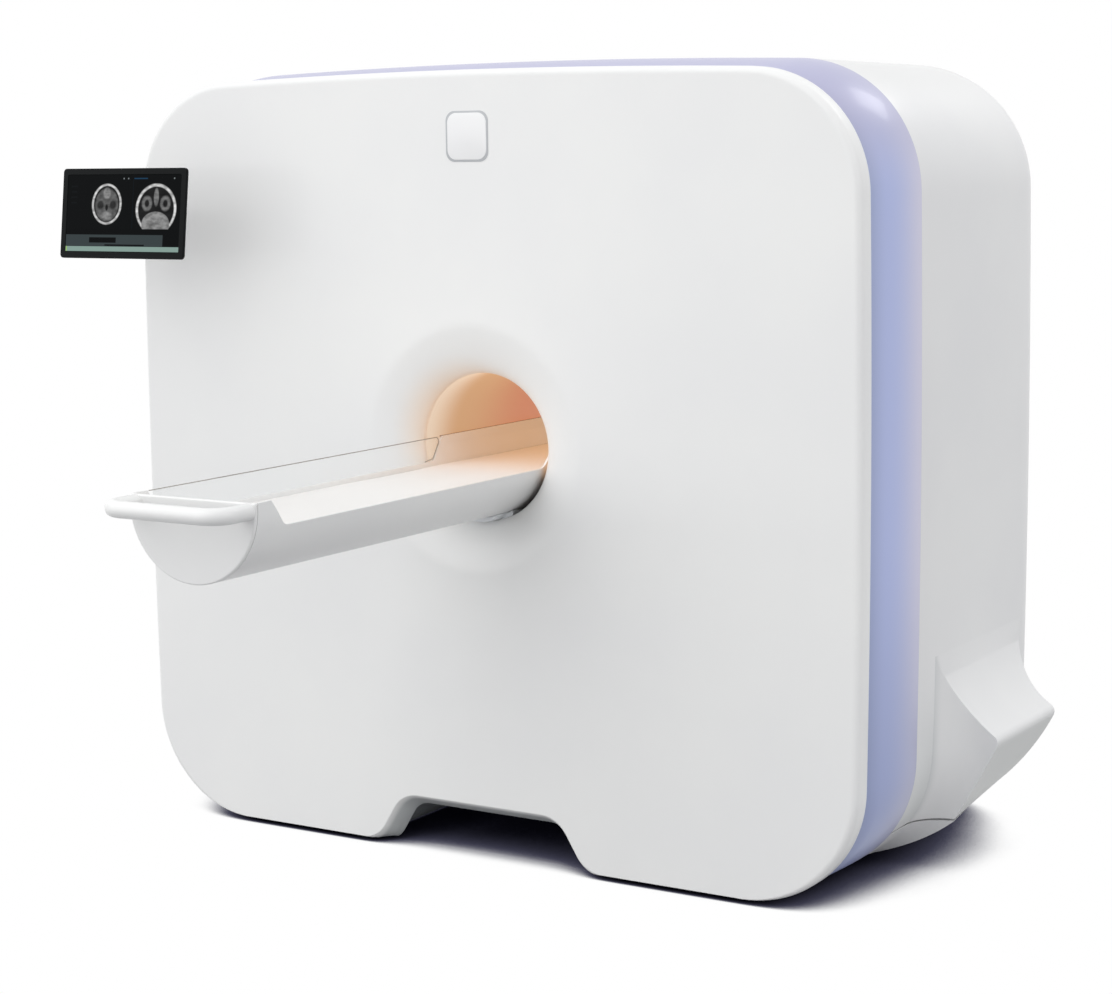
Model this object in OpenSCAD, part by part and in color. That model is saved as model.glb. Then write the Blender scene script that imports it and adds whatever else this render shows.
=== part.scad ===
// Compact infant MRI scanner: a bowed white front cover with a round bore, a lit band behind it,
// a deep rear housing, a sliding tray and a monitor on a swing arm.
// Millimetres. +X is the viewer's right, +Y runs into the machine, +Z is up.
// Inside the modules y = 0 is the front face and z = 0 the lower edge of the covers.

/* [Front cover] */
// Width of the front cover at mid height
cover_w = 1710; // [1670:5:1760]
// Height of the front cover at its middle
cover_h = 1600; // [1570:5:1640]
// Radius of the four corners of the front cover
corner_r = 240; // [225:5:255]
// Radius to which the top edge bows upwards
top_bow_r = 18000; // [16000:500:24000]
// Radius to which the side edges bow outwards
side_bow_r = 34000; // [28000:1000:40000]
// Depth of the return edge of the front cover
cover_t = 45; // [40:1:55]
// Wall thickness of the front cover
cover_wall = 8; // [6:0.5:10]
// Radius rolled along the front edge
edge_r = 14; // [10:1:18]

/* [Arch under the machine] */
// Width of the arch between its lower corner points
arch_floor = 510; // [490:5:530]
// Width of the arch between its upper corner points
arch_top = 380; // [360:5:400]
// Height of the arch
arch_h = 106; // [98:1:110]
// Radius of the arch corners
arch_r = 68; // [55:1:72]
// Thickness of the arch lining
arch_wall = 4; // [3:0.5:6]

/* [Bore] */
// Inner radius of the patient bore
bore_r = 150; // [148:0.5:154]
// Height of the bore axis above the lower edge of the covers
bore_z = 845; // [835:1:855]
// Radius of the rolled mouth of the bore
mouth_r = 55; // [48:1:60]
// Wall thickness of the bore lining
liner_wall = 5; // [4:0.5:6]
// Width of the light ring at the bore mouth
ring_w = 12; // [8:1:16]

/* [Light band and rear housing] */
// How far the rear housing stands outside the outline of the front cover
shell_grow = 20; // [12:1:26]
// How far the band is set inside the outline of the front cover
band_recess = 30; // [24:1:36]
// Depth at which the band meets the rear housing
band_end = 230; // [215:5:250]
// Wall thickness of the band
band_wall = 6; // [4:0.5:8]
// Depth of the machine without its tray
body_d = 940; // [930:5:960]
// Radius rolled around the rear of the housing
rear_r = 170; // [150:5:180]
// Wall thickness of the rear housing
shell_wall = 6; // [5:0.5:8]
// Width of the flange that carries the rear cover
rear_flange = 40; // [32:1:46]
// Height of the seam between skirt and housing
seam_z = 103; // [100:1:106]
// Width of that seam
seam_gap = 4; // [3:0.5:6]

/* [Side fairings] */
// How far a side fairing stands outside the rear housing
fairing_out = 104; // [95:1:112]
// Depth at which a side fairing starts
fairing_front = 380; // [365:5:400]
// Length of a side fairing
fairing_len = 320; // [280:5:330]
// Radius of the outer edge of a side fairing
fairing_tip_r = 17; // [14:1:20]
// Height at which a side fairing leaves the wall
fairing_top_z = 432; // [415:1:445]

/* [Tray] */
// Outer radius of the tray
tray_r = 140; // [136:0.5:140]
// Wall thickness of the tray
tray_wall = 5; // [4:0.5:6]
// How far the end of the tray stands in front of the front face
tray_out = 871; // [840:1:890]
// Length of tray left inside the bore in the photo pose
tray_in = 520; // [505:1:530]
// Height of the tray rim above the bore axis
rim_rise = 11; // [8:1:14]
// Depth of the cut-outs in the tray walls
cut_depth = 48; // [44:1:52]
// Thickness of the end cap of the tray
cap_t = 8; // [6:0.5:10]
// Diameter of the handle bar
handle_d = 30; // [26:1:32]
// Distance of the handle bar from the end cap
handle_out = 79; // [72:1:86]
// Depth of the top of the mattress below the bore axis
mat_drop = 44; // [42:1:48]
// Thickness of the mattress
mat_t = 30; // [26:1:34]
// Slide travel of the tray from end to end
travel = 650; // [600:5:650]
// How much of that travel pulls the tray out of the photo pose
tray_pull = 270; // [250:1:275]

/* [Monitor] */
// Width of the monitor
mon_w = 335; // [320:1:350]
// Height of the monitor
mon_h = 187; // [178:1:196]
// Depth of the monitor housing
mon_t = 24; // [20:1:28]
// Thickness of the thin edge of the monitor housing
mon_edge = 3; // [2:0.5:5]
// How far the back of the monitor housing steps in behind that edge
mon_step = 14; // [10:1:20]
// Width of the frame around the screen
bezel_w = 13; // [10:0.5:16]
// Distance of the monitor's centre to the left of the bore axis
mon_x = 728; // [715:1:740]
// Height of the monitor's centre
mon_z = 1316; // [1305:1:1326]
// Backward lean of the monitor in the photo pose
mon_lean = 7; // [4:0.5:10]
// Diameter of the swing arm tube
arm_d = 24; // [20:1:26]

/* [Magnet] */
// Outer radius of the magnet vessel
vessel_r = 560; // [540:5:570]
// Warm bore radius of the magnet vessel
vessel_bore = 275; // [273:0.5:280]
// Length of the magnet vessel
vessel_len = 660; // [640:5:680]
// Depth at which the magnet vessel starts
vessel_y = 130; // [120:5:140]
// Height of the largest cabinet
cab_h = 220; // [200:5:230]

/* [Hidden] */
$fn = 96;
// Gap left between pieces that only rest on each other
seat = 0.3;
// Radial clearance of a running pin
run = 0.05;
// Height of the foot pads under the lower edge of the covers
foot_h = 10;
// Foremost point of the handle in front of the front face
handle_front = tray_out + handle_out + handle_d / 2;
// Shift that puts the origin midway along the whole length
front_y = (handle_front - body_d) / 2;
// Half width of the front cover
half_w = cover_w / 2;
// Height of the widest place of the side bow
mid_z = cover_h / 2;
// Slope of the arch sides
arch_a = atan2(arch_h, (arch_floor - arch_top) / 2);
// Length of the tangents at the arch corners
arch_tan = arch_r * tan(arch_a / 2);
// Centre of the rounding at the lower arch corner
arch_low = [arch_floor / 2 + arch_tan, arch_r];
// Centre of the rounding at the upper arch corner
arch_high = [arch_top / 2 - arch_tan, arch_h - arch_r];
// Centre of the right side bow
side_c = [half_w - side_bow_r, mid_z];
// Centre of the top bow
top_c = [0, cover_h - top_bow_r];
// Radii at which the upper corner centre lies from the two bow centres
side_q = side_bow_r - corner_r;
top_q = top_bow_r - corner_r;
// The upper right corner centre, where both distances meet
bow_v = top_c - side_c;
bow_l = norm(bow_v);
bow_a = (side_q * side_q - top_q * top_q + bow_l * bow_l) / (2 * bow_l);
bow_h = sqrt(side_q * side_q - bow_a * bow_a);
corner_c = side_c + bow_v * (bow_a / bow_l) + [-bow_v[1], bow_v[0]] * (bow_h / bow_l);
// The lower right corner centre, when its lowest point lies at z
function foot_at(z) = [side_c[0] + sqrt(side_q * side_q - pow(z - mid_z, 2)), z];
foot_c = foot_at(corner_r);
// Angles at which the arcs of the outline meet
function low_turn(c) = atan2(c[1] - side_c[1], c[0] - side_c[0]);
turn_low = low_turn(foot_c);
turn_side = atan2(corner_c[1] - side_c[1], corner_c[0] - side_c[0]);
turn_top = atan2(corner_c[1] - top_c[1], corner_c[0] - top_c[0]);
// Radius of the flare of the light band, level where it meets the housing
flare_y = band_end - cover_t;
flare_g = band_recess + shell_grow;
flare_r = (flare_y * flare_y + flare_g * flare_g) / (2 * flare_g);
// Outer half width of the rear housing
shell_half = half_w + shell_grow;
// Lower edge of band, housing and skirts
low_z = 2;
// Depth of the inner face of the rear cover
rear_in = body_d - shell_wall;
// Width of the groove around the rear cover
rear_groove = 2;
// Outset of the end of the rear rolling, and of the edge of the rear cover
rear_g = shell_grow - rear_r;
cover_g = rear_g - 4 - rear_groove;
// Base frame: inner and outer face of the skids, and the beam levels
skid_in = arch_low[0] + 12;
skid_w = 80;
skid_out = skid_in + skid_w;
beam_z = arch_h + arch_wall;
beam_h = 60;
beam_top = beam_z + beam_h;
beam_w = 60;
frame_half = half_w - 215;
skid_y = [cover_t + 15, body_d - 50];
beam_y = [vessel_y + 40, vessel_y + vessel_len - 40 - beam_w];
// Saddles of the vessel: half width, and place and height of the vessel over the middle of their holes
cradle_half = vessel_r - 175;
cradle_hole = 0.753 * cradle_half;
cradle_free = bore_z - sqrt(vessel_r * vessel_r - cradle_hole * cradle_hole) - beam_top;
// Places of the cabinets on the frame, clear of the saddles and of the vessel
cab_fin = 22;
cab_low = bore_z - beam_top - cab_h - cab_fin;
cab_in = max(cradle_half + 45, sqrt(max(0, vessel_r * vessel_r - cab_low * cab_low)) + 60);
cab_out = half_w - 95;
cab_mid = vessel_y + vessel_len / 2;
cab_front = [vessel_y + 40, cab_mid - 10];
cab_rear = [cab_mid + 10, vessel_y + vessel_len - 50];
// Places of the air slots and of the mains inlet in the rear cover
vent_x = half_w - 355;
vent_z = 330;
inlet_z = 560;
// Rail under the tray, measured below the bore axis
rail_half = 59;
rail_low = tray_r + 26;
slot_neck = 14;
slot_head = 26;
slot_z0 = tray_r + 10;
slot_z1 = tray_r + 20;
slot_y0 = 102;
// Ends of the tray shoe, and end stop of the groove behind the full travel
shoe_y0 = slot_y0 + 8 + tray_pull;
shoe_y1 = tray_in - 5;
slot_y1 = shoe_y1 + travel - tray_pull + 2;
// Radio coil and gradient coil, from the bore outwards
rf_r = bore_r + 36;
grad_in = rf_r + 19;
grad_out = vessel_bore - 13;
grad_step = 0.316 * (grad_out - grad_in);
// Levels of the magnet between its warm bore and its outer wall
function level(share) = vessel_bore + share * (vessel_r - vessel_bore);
shield_in = level(0.0877);
former_in = level(0.1579);
coil_in = level(0.2105);
coil_out = level(0.579);
flange_r = level(0.6842);
shield_out = level(0.8947);
former_y = vessel_y + 65;
former_len = vessel_len - 130;
// Thickness of the walls of the coil former
former_web = 0.0226 * former_len;
// Depth of the cold neck
neck_y = vessel_y + vessel_len / 2;
// Heights of neck, flange, plate, drive and motor of the cold head, in the room over the vessel
head_room = cover_h + shell_grow - shell_wall - bore_z - vessel_r;
neck_h = 0.1435 * head_room;
neck_flange = 0.067 * head_room;
head_plate = 0.0574 * head_room;
head_drive = 0.1914 * head_room;
head_motor = 0.239 * head_room;
neck_top = vessel_r + neck_h + neck_flange;
// Depth of the mains inlet, in the room behind the vessel
inlet_d = 0.278 * (rear_in - vessel_y - vessel_len);
// Monitor arm
bend_r = 60;
pivot_x = max(shell_half + 50, mon_x + bend_r + 20);
pivot_y = band_end + 100;
head_y = -121;
tilt_y = head_y - 40;
tilt_back = 15;

front_cover();
bore_mouth();
light_band();
band_light_strip();
rear_housing();
rear_cover();
rear_screws();
mains_inlet();
skirt_right();
skirt_left();
fairing_right();
fairing_left();
arch_lining();
base_frame();
foot_pads();
magnet_cradle();
magnet_vessel();
heat_shield();
coil_former();
main_coils();
hanger_posts();
cold_neck();
cold_head();
gradient_coil();
gradient_rings();
rf_former();
rf_birdcage();
rf_rings();
bore_light_ring();
bore_lining();
tray_rail();
gradient_amplifier();
rf_amplifier();
power_supply();
control_unit();
fan_frame();
fan_rotor();
tray_shell();
tray_end_cap();
tray_handle();
tray_deck();
tray_shoe();
mattress();
side_guard();
arm_bracket();
arm_pin();
swing_arm();
head_pin();
swivel_head();
tilt_pin();
monitor_housing();
monitor_bezel();
monitor_screen();

// Helpers for outlines and lofts

// Moves a piece from the front face datum into the frame of the part.
module place() translate([0, front_y, foot_h]) children();

// Moves a piece from the front face datum onto the bore axis as well.
module on_axis() place() translate([0, 0, bore_z]) children();

// Points of one arc.
function arc(c, r, a0, a1, n) = [for (i = [0:n]) let(a = a0 + (a1 - a0) * i / n) c + r * [cos(a), sin(a)]];

// A list without its first and last element.
function inner(list) = [for (i = [1:len(list) - 2]) list[i]];

// Mirrors a right half outline to the left and joins both.
function mirrored(list) = concat(list, [for (i = [len(list) - 2:-1:1]) [-list[i][0], list[i][1]]]);

// Whole front cover outline with the arch in its lower edge, drawn d inside the cover.
function cover_outline(d) = mirrored(concat(
    [[0, arch_h + d]],
    arc(arch_high, arch_r + d, 90, 90 - arch_a, 6),
    arc(arch_low, arch_r - d, 270 - arch_a, 270, 6),
    arc(foot_c, corner_r - d, -90, turn_low, 14),
    inner(arc(side_c, side_bow_r - d, turn_low, turn_side, 8)),
    arc(corner_c, corner_r - d, turn_side, turn_top, 14),
    arc(top_c, top_bow_r - d, turn_top + (90 - turn_top) / 6, 90, 5)));

// Outline of band and housing, g outside the front cover, with its lower edge at z0.
function outline(g, z0) = let(c = foot_at(z0 + corner_r + g), low = low_turn(c)) mirrored(concat(
    [[0, z0]],
    arc(c, corner_r + g, -90, low, 12),
    inner(arc(side_c, side_bow_r + g, low, turn_side, 6)),
    arc(corner_c, corner_r + g, turn_side, turn_top, 14),
    arc(top_c, top_bow_r + g, turn_top + (90 - turn_top) / 5, 90, 4)));

// One station of a hollow loft: the outline set out by g at depth y.
function station(g, z0, y) = [for (p = outline(g, z0)) [p[0], y, p[1]]];

// Outline of the arch, drawn d into the covers.
function arch_outline(d) = mirrored(concat(
    [[0, arch_h + d]],
    arc(arch_high, arch_r + d, 90, 90 - arch_a, 8),
    arc(arch_low, arch_r - d, 270 - arch_a, 270, 8),
    [[0, -1]]));

// One closed solid from rings of points, each ring counter-clockwise as seen from the front.
module loft(rings) {
    n = len(rings[0]);
    last = len(rings) - 1;
    polyhedron(
        points = [for (ring = rings) each ring],
        faces = concat(
            [[for (i = [n - 1:-1:0]) i]],
            [for (k = [0:last - 1], i = [0:n - 1]) let(a = k * n, b = a + n, j = (i + 1) % n)
                [a + i, a + j, b + j]],
            [for (k = [0:last - 1], i = [0:n - 1]) let(a = k * n, b = a + n, j = (i + 1) % n)
                [a + i, b + j, b + i]],
            [[for (i = [0:n - 1]) last * n + i]]),
        convexity = 6);
}

// A closed hollow ring from stations that run round its wall section.
module ring_loft(rings) {
    n = len(rings[0]);
    m = len(rings);
    polyhedron(
        points = [for (ring = rings) each ring],
        faces = concat(
            [for (k = [0:m - 1], i = [0:n - 1]) let(a = k * n, b = ((k + 1) % m) * n)
                [a + i, a + (i + 1) % n, b + (i + 1) % n]],
            [for (k = [0:m - 1], i = [0:n - 1]) let(a = k * n, b = ((k + 1) % m) * n)
                [a + i, b + (i + 1) % n, b + i]]),
        convexity = 8);
}

// A flat outline in X and Z, extruded from depth y0 to y1.
module slab(y0, y1) translate([0, y1, 0]) rotate([90, 0, 0]) linear_extrude(y1 - y0) children();

// A round bar along Y on the present origin.
module rod_y(r, y0, y1) translate([0, y0, 0]) rotate([-90, 0, 0]) cylinder(r = r, h = y1 - y0);

// A ring along Y on the present origin.
module tube_y(r0, r1, y0, y1) slab(y0, y1) difference() {
    circle(r1);
    circle(r0);
}

// A box between two corners.
module box(a, b) translate(a) cube(b - a);

// A square with round corners, drawn from true circles.
module round_rect(w, h, r) {
    square([w - 2 * r, h], center = true);
    square([w, h - 2 * r], center = true);
    for (x = [-1, 1], y = [-1, 1])
        translate([x * (w / 2 - r), y * (h / 2 - r)]) circle(r);
}

// Housing

// Front cover: lofted pan with rolled edge, arch and round opening for the bore mouth.
module front_cover() color([0.95, 0.95, 0.94]) place() {
    steps = 5;
    edge = [for (i = [0:steps]) let(a = 90 * i / steps) [edge_r * (1 - sin(a)), edge_r * (1 - cos(a))]];
    stations = concat(edge, [[0, cover_t], [cover_wall, cover_t], [cover_wall, cover_wall]]);
    difference() {
        loft([for (s = stations) [for (p = cover_outline(s[0])) [p[0], s[1], p[1]]]]);
        translate([0, 0, bore_z]) rod_y(bore_r + mouth_r + seat, -1, cover_wall + 1);
    }
}

// Bore mouth: the rolled ring in the front cover, with a flange behind it.
module bore_mouth() color([0.95, 0.95, 0.94]) on_axis()
    rotate([-90, 0, 0]) rotate_extrude() translate([bore_r + mouth_r, mouth_r]) {
        intersection() {
            difference() {
                circle(mouth_r);
                circle(mouth_r - cover_wall);
            }
            translate([-mouth_r, -mouth_r]) square(mouth_r);
        }
        translate([-10, cover_wall - mouth_r]) square([28, 4]);
    }

// Outset of the flared outer face of the light band at depth y.
function flare(y) = shell_grow - flare_r + sqrt(flare_r * flare_r - pow(band_end - y, 2));

// Height of the lower edge of the band at depth y, level with the housing at its rear.
function flare_low(y) = max(low_z, -flare(y));

// Space that the base frame and the arch take out of the covers above it.
module frame_cut() {
    box([-skid_out, -1, -50], [skid_out, rear_in, band_recess + 2 * band_wall]);
    slab(-1, body_d + 1) polygon(arch_outline(arch_wall + 0.5));
}

// Light band: the lilac diffuser, flared from inside the front cover to the rear housing.
module light_band() color([0.66, 0.70, 0.82]) place() difference() {
    depths = [for (i = [0:7]) cover_t + flare_y * i / 7];
    ring_loft(concat(
        [station(-band_recess, band_recess, cover_wall)],
        [for (y = depths) station(flare(y), flare_low(y), y)],
        [for (i = [7:-1:0]) let(y = depths[i]) station(flare(y) - band_wall, flare_low(y) + band_wall, y)],
        [station(-band_recess - band_wall, band_recess + band_wall, cover_wall)]));
    frame_cut();
}

// Light strip on the inner side of the band, next to the rear housing.
module band_light_strip() color([0.90, 0.90, 1.0]) place() difference() {
    g = flare(band_end - 20) - band_wall - 2 * seat;
    z0 = low_z + band_wall + 2;
    y0 = band_end - 20;
    y1 = band_end - 8;
    ring_loft([station(g, z0, y0), station(g, z0, y1), station(g - 3, z0 + 3, y1), station(g - 3, z0 + 3, y0)]);
    box([-shell_half, 0, 0], [shell_half, band_end, 60]);
}

// Hollow housing from the band to the rear, rolled over to a groove and a flange for the rear cover.
module housing() {
    roll = [for (i = [0:7]) 90 * i / 7];
    r = rear_r - shell_wall;
    y0 = body_d - rear_r;
    ring_loft(concat(
        [station(shell_grow, low_z, band_end)],
        [for (a = roll) station(rear_g + rear_r * cos(a), low_z, y0 + rear_r * sin(a))],
        [station(rear_g - 4, low_z + 4, body_d), station(rear_g - 4, low_z + 4, rear_in),
            station(rear_g - rear_flange, low_z + rear_flange, rear_in),
            station(rear_g - rear_flange, low_z + rear_flange, rear_in - shell_wall)],
        [station(rear_g, low_z + shell_wall, rear_in - shell_wall)],
        [for (a = [60, 30, 0]) station(rear_g + r * cos(a), low_z + shell_wall, y0 + r * sin(a))],
        [station(shell_grow - shell_wall, low_z + shell_wall, band_end)]));
}

// Rear housing: one hood over the sides and top, open below at the seam.
module rear_housing() color([0.90, 0.90, 0.90]) place() difference() {
    housing();
    box([-shell_half - 5, 0, -60], [shell_half + 5, body_d + 5, seam_z + seam_gap]);
    rear_holes(4 + run);
}

// Screw places of the rear cover, along the middle of its flange.
flange_mid = half_w + rear_g - rear_flange / 2 - 6;
screw_low = 300;
screw_step = (cover_h - 640) / 3;
screw_x = half_w - corner_r - 195;
rear_pts = concat([for (x = [-1, 1], i = [0:3]) [x * flange_mid, screw_low + i * screw_step]],
    [for (x = [-1:1]) [x * screw_x, cover_h + rear_g - rear_flange / 2 - 9]]);

// Holes for the rear cover screws.
module rear_holes(r) for (p = rear_pts) translate([p[0], 0, p[1]]) rod_y(r, rear_in - 20, body_d + 1);

// Rear cover: flat service panel on the flange, with air slots and the rear bore opening.
module rear_cover() color([0.88, 0.88, 0.88]) place() difference() {
    slab(rear_in, body_d) intersection() {
        polygon(outline(cover_g, low_z));
        translate([-half_w, seam_z + seam_gap]) square([cover_w, cover_h]);
    }
    translate([0, 0, bore_z]) rod_y(bore_r, rear_in - 1, body_d + 1);
    for (x = [-1, 1], i = [-5:5])
        translate([x * vent_x, rear_in + shell_wall / 2, vent_z + 14 * i]) cube([150, 20, 6], center = true);
    translate([-vent_x, 0, inlet_z]) rod_y(34, rear_in - 1, body_d + 1);
    rear_holes(4 + run);
    for (p = rear_pts)
        translate([p[0], 0, p[1]]) rod_y(8.5, body_d - 3, body_d + 1);
}

// Screws that hold the rear cover to the flange.
module rear_screws() color([0.45, 0.46, 0.48]) place() for (p = rear_pts) translate([p[0], 0, p[1]]) {
    rod_y(4, rear_in - 14, body_d - 2);
    rod_y(8, body_d - 3, body_d - 0.5);
}

// Mains inlet in the rear cover.
module mains_inlet() color([0.13, 0.13, 0.14]) place() translate([-vent_x, 0, inlet_z]) difference() {
    union() {
        rod_y(44, rear_in - 5, rear_in);
        rod_y(34 - seat, rear_in - inlet_d, body_d);
    }
    rod_y(27, rear_in - 0.75 * inlet_d, body_d + 1);
}

// Rear wall of a skirt, beside the arch.
module skirt_wall() slab(rear_in, body_d - 1) difference() {
    intersection() {
        polygon(outline(rear_g + 1, low_z));
        translate([arch_top / 2, low_z]) square([cover_w, seam_z - low_z]);
    }
    polygon(arch_outline(0));
}

// Skirt on the right side: the lower corner of the housing and its rear wall.
module skirt() {
    difference() {
        housing();
        box([-2 * cover_w, -1, seam_z], [2 * cover_w, body_d + 9, 2 * cover_h]);
        box([-2 * cover_w, -1, -50], [skid_out, body_d + 9, 2 * cover_h]);
    }
    skirt_wall();
}

// Right skirt under the seam.
module skirt_right() color([0.88, 0.88, 0.88]) place() skirt();

// Left skirt under the seam.
module skirt_left() color([0.88, 0.88, 0.88]) place() mirror([1, 0, 0]) skirt();

// Section of a side fairing down to z0: hollow above, round at its outer edge and full below.
fairing_a0 = 12;
fairing_a1 = 56;
fairing_a2 = 27;
fairing_low_r = 700;
fairing_r = (fairing_out - fairing_tip_r * (1 - cos(fairing_a1))) / (cos(fairing_a0) - cos(fairing_a1));
function fairing_points(z0, x_in) = let(
        start = [shell_half, fairing_top_z],
        top = [for (i = [0:10]) let(t = fairing_a0 + (fairing_a1 - fairing_a0) * i / 10)
            start + fairing_r * [cos(fairing_a0) - cos(t), sin(fairing_a0) - sin(t)]],
        tip = top[10] - fairing_tip_r * [cos(fairing_a1), sin(fairing_a1)],
        edge = inner(arc(tip, fairing_tip_r, fairing_a1, -fairing_a2, 8)),
        join = tip + fairing_tip_r * [cos(fairing_a2), -sin(fairing_a2)],
        end_a = asin(sin(fairing_a2) + (join[1] - z0) / fairing_low_r),
        low = [for (i = [0:8]) let(t = fairing_a2 + (end_a - fairing_a2) * i / 8)
            join + fairing_low_r * [cos(t) - cos(fairing_a2), sin(fairing_a2) - sin(t)]])
    concat([[x_in, fairing_top_z]], top, edge, low, [[x_in, z0]]);

// One side fairing, cut to the wall of the housing.
module fairing() difference() {
    slab(fairing_front, fairing_front + fairing_len)
        polygon(fairing_points(seam_z + seam_gap, shell_half - 60));
    slab(fairing_front - 1, fairing_front + fairing_len + 1)
        polygon(outline(shell_grow + seat, low_z - seat));
}

// Right side fairing.
module fairing_right() color([0.90, 0.90, 0.90]) place() fairing();

// Left side fairing.
module fairing_left() color([0.90, 0.90, 0.90]) place() mirror([1, 0, 0]) fairing();

// Lining of the arch from the front cover to the rear skirt.
module arch_lining() color([0.70, 0.70, 0.72]) place() difference() {
    slab(cover_t, rear_in - seat) intersection() {
        polygon(arch_outline(arch_wall));
        translate([-half_w, low_z]) square([cover_w, 2 * arch_h]);
    }
    slab(cover_t - 1, body_d + 1) polygon(arch_outline(0));
}

// Structure

// Base frame: two skids beside the arch, cross beams over it and outer rails.
module base_frame() color([0.32, 0.34, 0.37]) place() {
    for (s = [-1, 1]) {
        translate([s * (skid_in + skid_out) / 2 - skid_w / 2, skid_y[0], 0])
            cube([skid_w, skid_y[1] - skid_y[0], beam_z]);
        translate([s * (frame_half - beam_w / 2) - beam_w / 2, beam_y[0], beam_z])
            cube([beam_w, beam_y[1] + beam_w - beam_y[0], beam_h]);
    }
    for (y = beam_y)
        box([-frame_half, y, beam_z], [frame_half, y + beam_w, beam_top]);
}

// Six foot pads under the skids.
module foot_pads() color([0.10, 0.10, 0.11]) place()
    for (s = [-1, 1], y = [skid_y[0] + 60, (skid_y[0] + skid_y[1] + 10) / 2, skid_y[1] - 50])
        translate([s * (skid_in + skid_w / 2), y, -foot_h]) cylinder(r = 32, h = foot_h);

// Two saddles that carry the magnet vessel on the cross beams.
module magnet_cradle() color([0.35, 0.37, 0.40]) place() for (y = beam_y) difference() {
    box([-cradle_half, y, beam_top],
        [cradle_half, y + beam_w, bore_z - sqrt(vessel_r * vessel_r - cradle_half * cradle_half) - 2]);
    translate([0, 0, bore_z]) rod_y(vessel_r + seat, y - 1, y + beam_w + 1);
    for (s = [-1, 1])
        translate([s * cradle_hole, 0, beam_top + 0.383 * cradle_free])
            rod_y(0.2145 * cradle_free, y - 1, y + beam_w + 1);
}

// Magnet

// Vacuum vessel: a ring-shaped can and its welded front plate.
module magnet_vessel() color([0.72, 0.73, 0.75]) on_axis() {
    y0 = vessel_y;
    y1 = vessel_y + vessel_len;
    difference() {
        union() {
            tube_y(vessel_r - 10, vessel_r, y0 + 15, y1);
            tube_y(vessel_bore, vessel_bore + 8, y0 + 15, y1);
            tube_y(vessel_bore, vessel_r, y1 - 15, y1);
        }
        translate([0, neck_y, 0]) cylinder(r = 62, h = vessel_r + 10);
    }
    tube_y(vessel_bore, vessel_r, y0, y0 + 15);
}

// Heat shield inside the vacuum vessel: a thin can with its lid.
module heat_shield() color([0.80, 0.81, 0.83]) on_axis() {
    y0 = vessel_y + 35;
    y1 = vessel_y + vessel_len - 35;
    difference() {
        union() {
            tube_y(shield_out - 3, shield_out, y0 + 3, y1);
            tube_y(shield_in, shield_in + 3, y0 + 3, y1);
            tube_y(shield_in, shield_out, y1 - 3, y1);
        }
        translate([0, neck_y, 0]) cylinder(r = 36, h = vessel_r);
        posts(12 + seat);
    }
    difference() {
        tube_y(shield_in, shield_out, y0, y0 + 3);
        posts(12 + seat);
    }
}

// Places of the posts at both ends of the magnet.
module posts(r) for (a = [45:90:315])
    rotate([0, a, 0]) translate([flange_r - 15, 0, 0]) {
        rod_y(r, vessel_y + 15, former_y);
        rod_y(r, former_y + former_len, vessel_y + vessel_len - 15);
    }

// Posts that hang the coil former in the vessel.
module hanger_posts() color([0.62, 0.66, 0.45]) on_axis() posts(12);

// Coil bays of the former: centre and half width as shares of its length.
bays = [[0.082, 0.0566], [0.26, 0.066], [0.43, 0.0434], [0.57, 0.0434], [0.74, 0.066], [0.918, 0.0566]];

// Coil former: a spool with walls between the winding bays.
module coil_former() color([0.78, 0.72, 0.58]) on_axis() {
    tube_y(former_in, coil_in, former_y, former_y + former_len);
    for (share = [0, 0.5, 1]) let(y = former_y + share * (former_len - former_web))
        tube_y(former_in, flange_r, y, y + former_web);
}

// Main windings, one ring in each bay.
module main_coils() color([0.72, 0.42, 0.24]) on_axis()
    for (b = bays)
        let(y = former_y + b[0] * former_len, half = b[1] * former_len)
            tube_y(coil_in + seat, coil_out, y - half, y + half);

// Neck on the vessel for the cold head.
module cold_neck() color([0.72, 0.73, 0.75]) on_axis() translate([0, neck_y, 0]) difference() {
    union() {
        cylinder(r = 75, h = vessel_r + neck_h);
        translate([0, 0, vessel_r + neck_h - 1]) cylinder(r = 95, h = neck_flange + 1);
    }
    translate([0, 0, -1]) cylinder(r = 62, h = neck_top + 10);
    rod_y(vessel_r + seat, -120, 120);
    translate([-200, -200, -1]) cube([400, 400, vessel_r - 40]);
}

// Cold head: drive on the neck with its cold finger down to the former.
module cold_head() color([0.55, 0.57, 0.60]) on_axis() translate([0, neck_y, 0]) {
    translate([0, 0, neck_top + seat]) cylinder(r = 92, h = head_plate);
    translate([0, 0, neck_top + head_plate - 1]) cylinder(r = 55, h = head_drive + 1);
    translate([-60, -50, neck_top + head_plate + head_drive - 1]) cube([120, 100, head_motor + 1]);
    translate([0, 0, flange_r + seat]) cylinder(r = 28, h = neck_top + head_plate / 2 - flange_r);
}

// Gradient coil: a potted tube with stepped ends.
module gradient_coil() color([0.85, 0.80, 0.66]) on_axis() {
    tube_y(grad_in, grad_out, vessel_y + 70, vessel_y + vessel_len - 70);
    for (y = [vessel_y + 55, vessel_y + vessel_len - 70])
        tube_y(grad_in, grad_out - grad_step, y, y + 15);
}

// Rings that centre the gradient coil in the warm bore.
module gradient_rings() color([0.25, 0.26, 0.28]) on_axis()
    for (y = [vessel_y + 85, vessel_y + vessel_len - 110])
        tube_y(grad_out + seat, vessel_bore - seat, y, y + 25);

// Former of the radio coil.
module rf_former() color([0.88, 0.88, 0.84]) on_axis()
    tube_y(rf_r, rf_r + 5, vessel_y + 110, vessel_y + vessel_len - 110);

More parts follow.
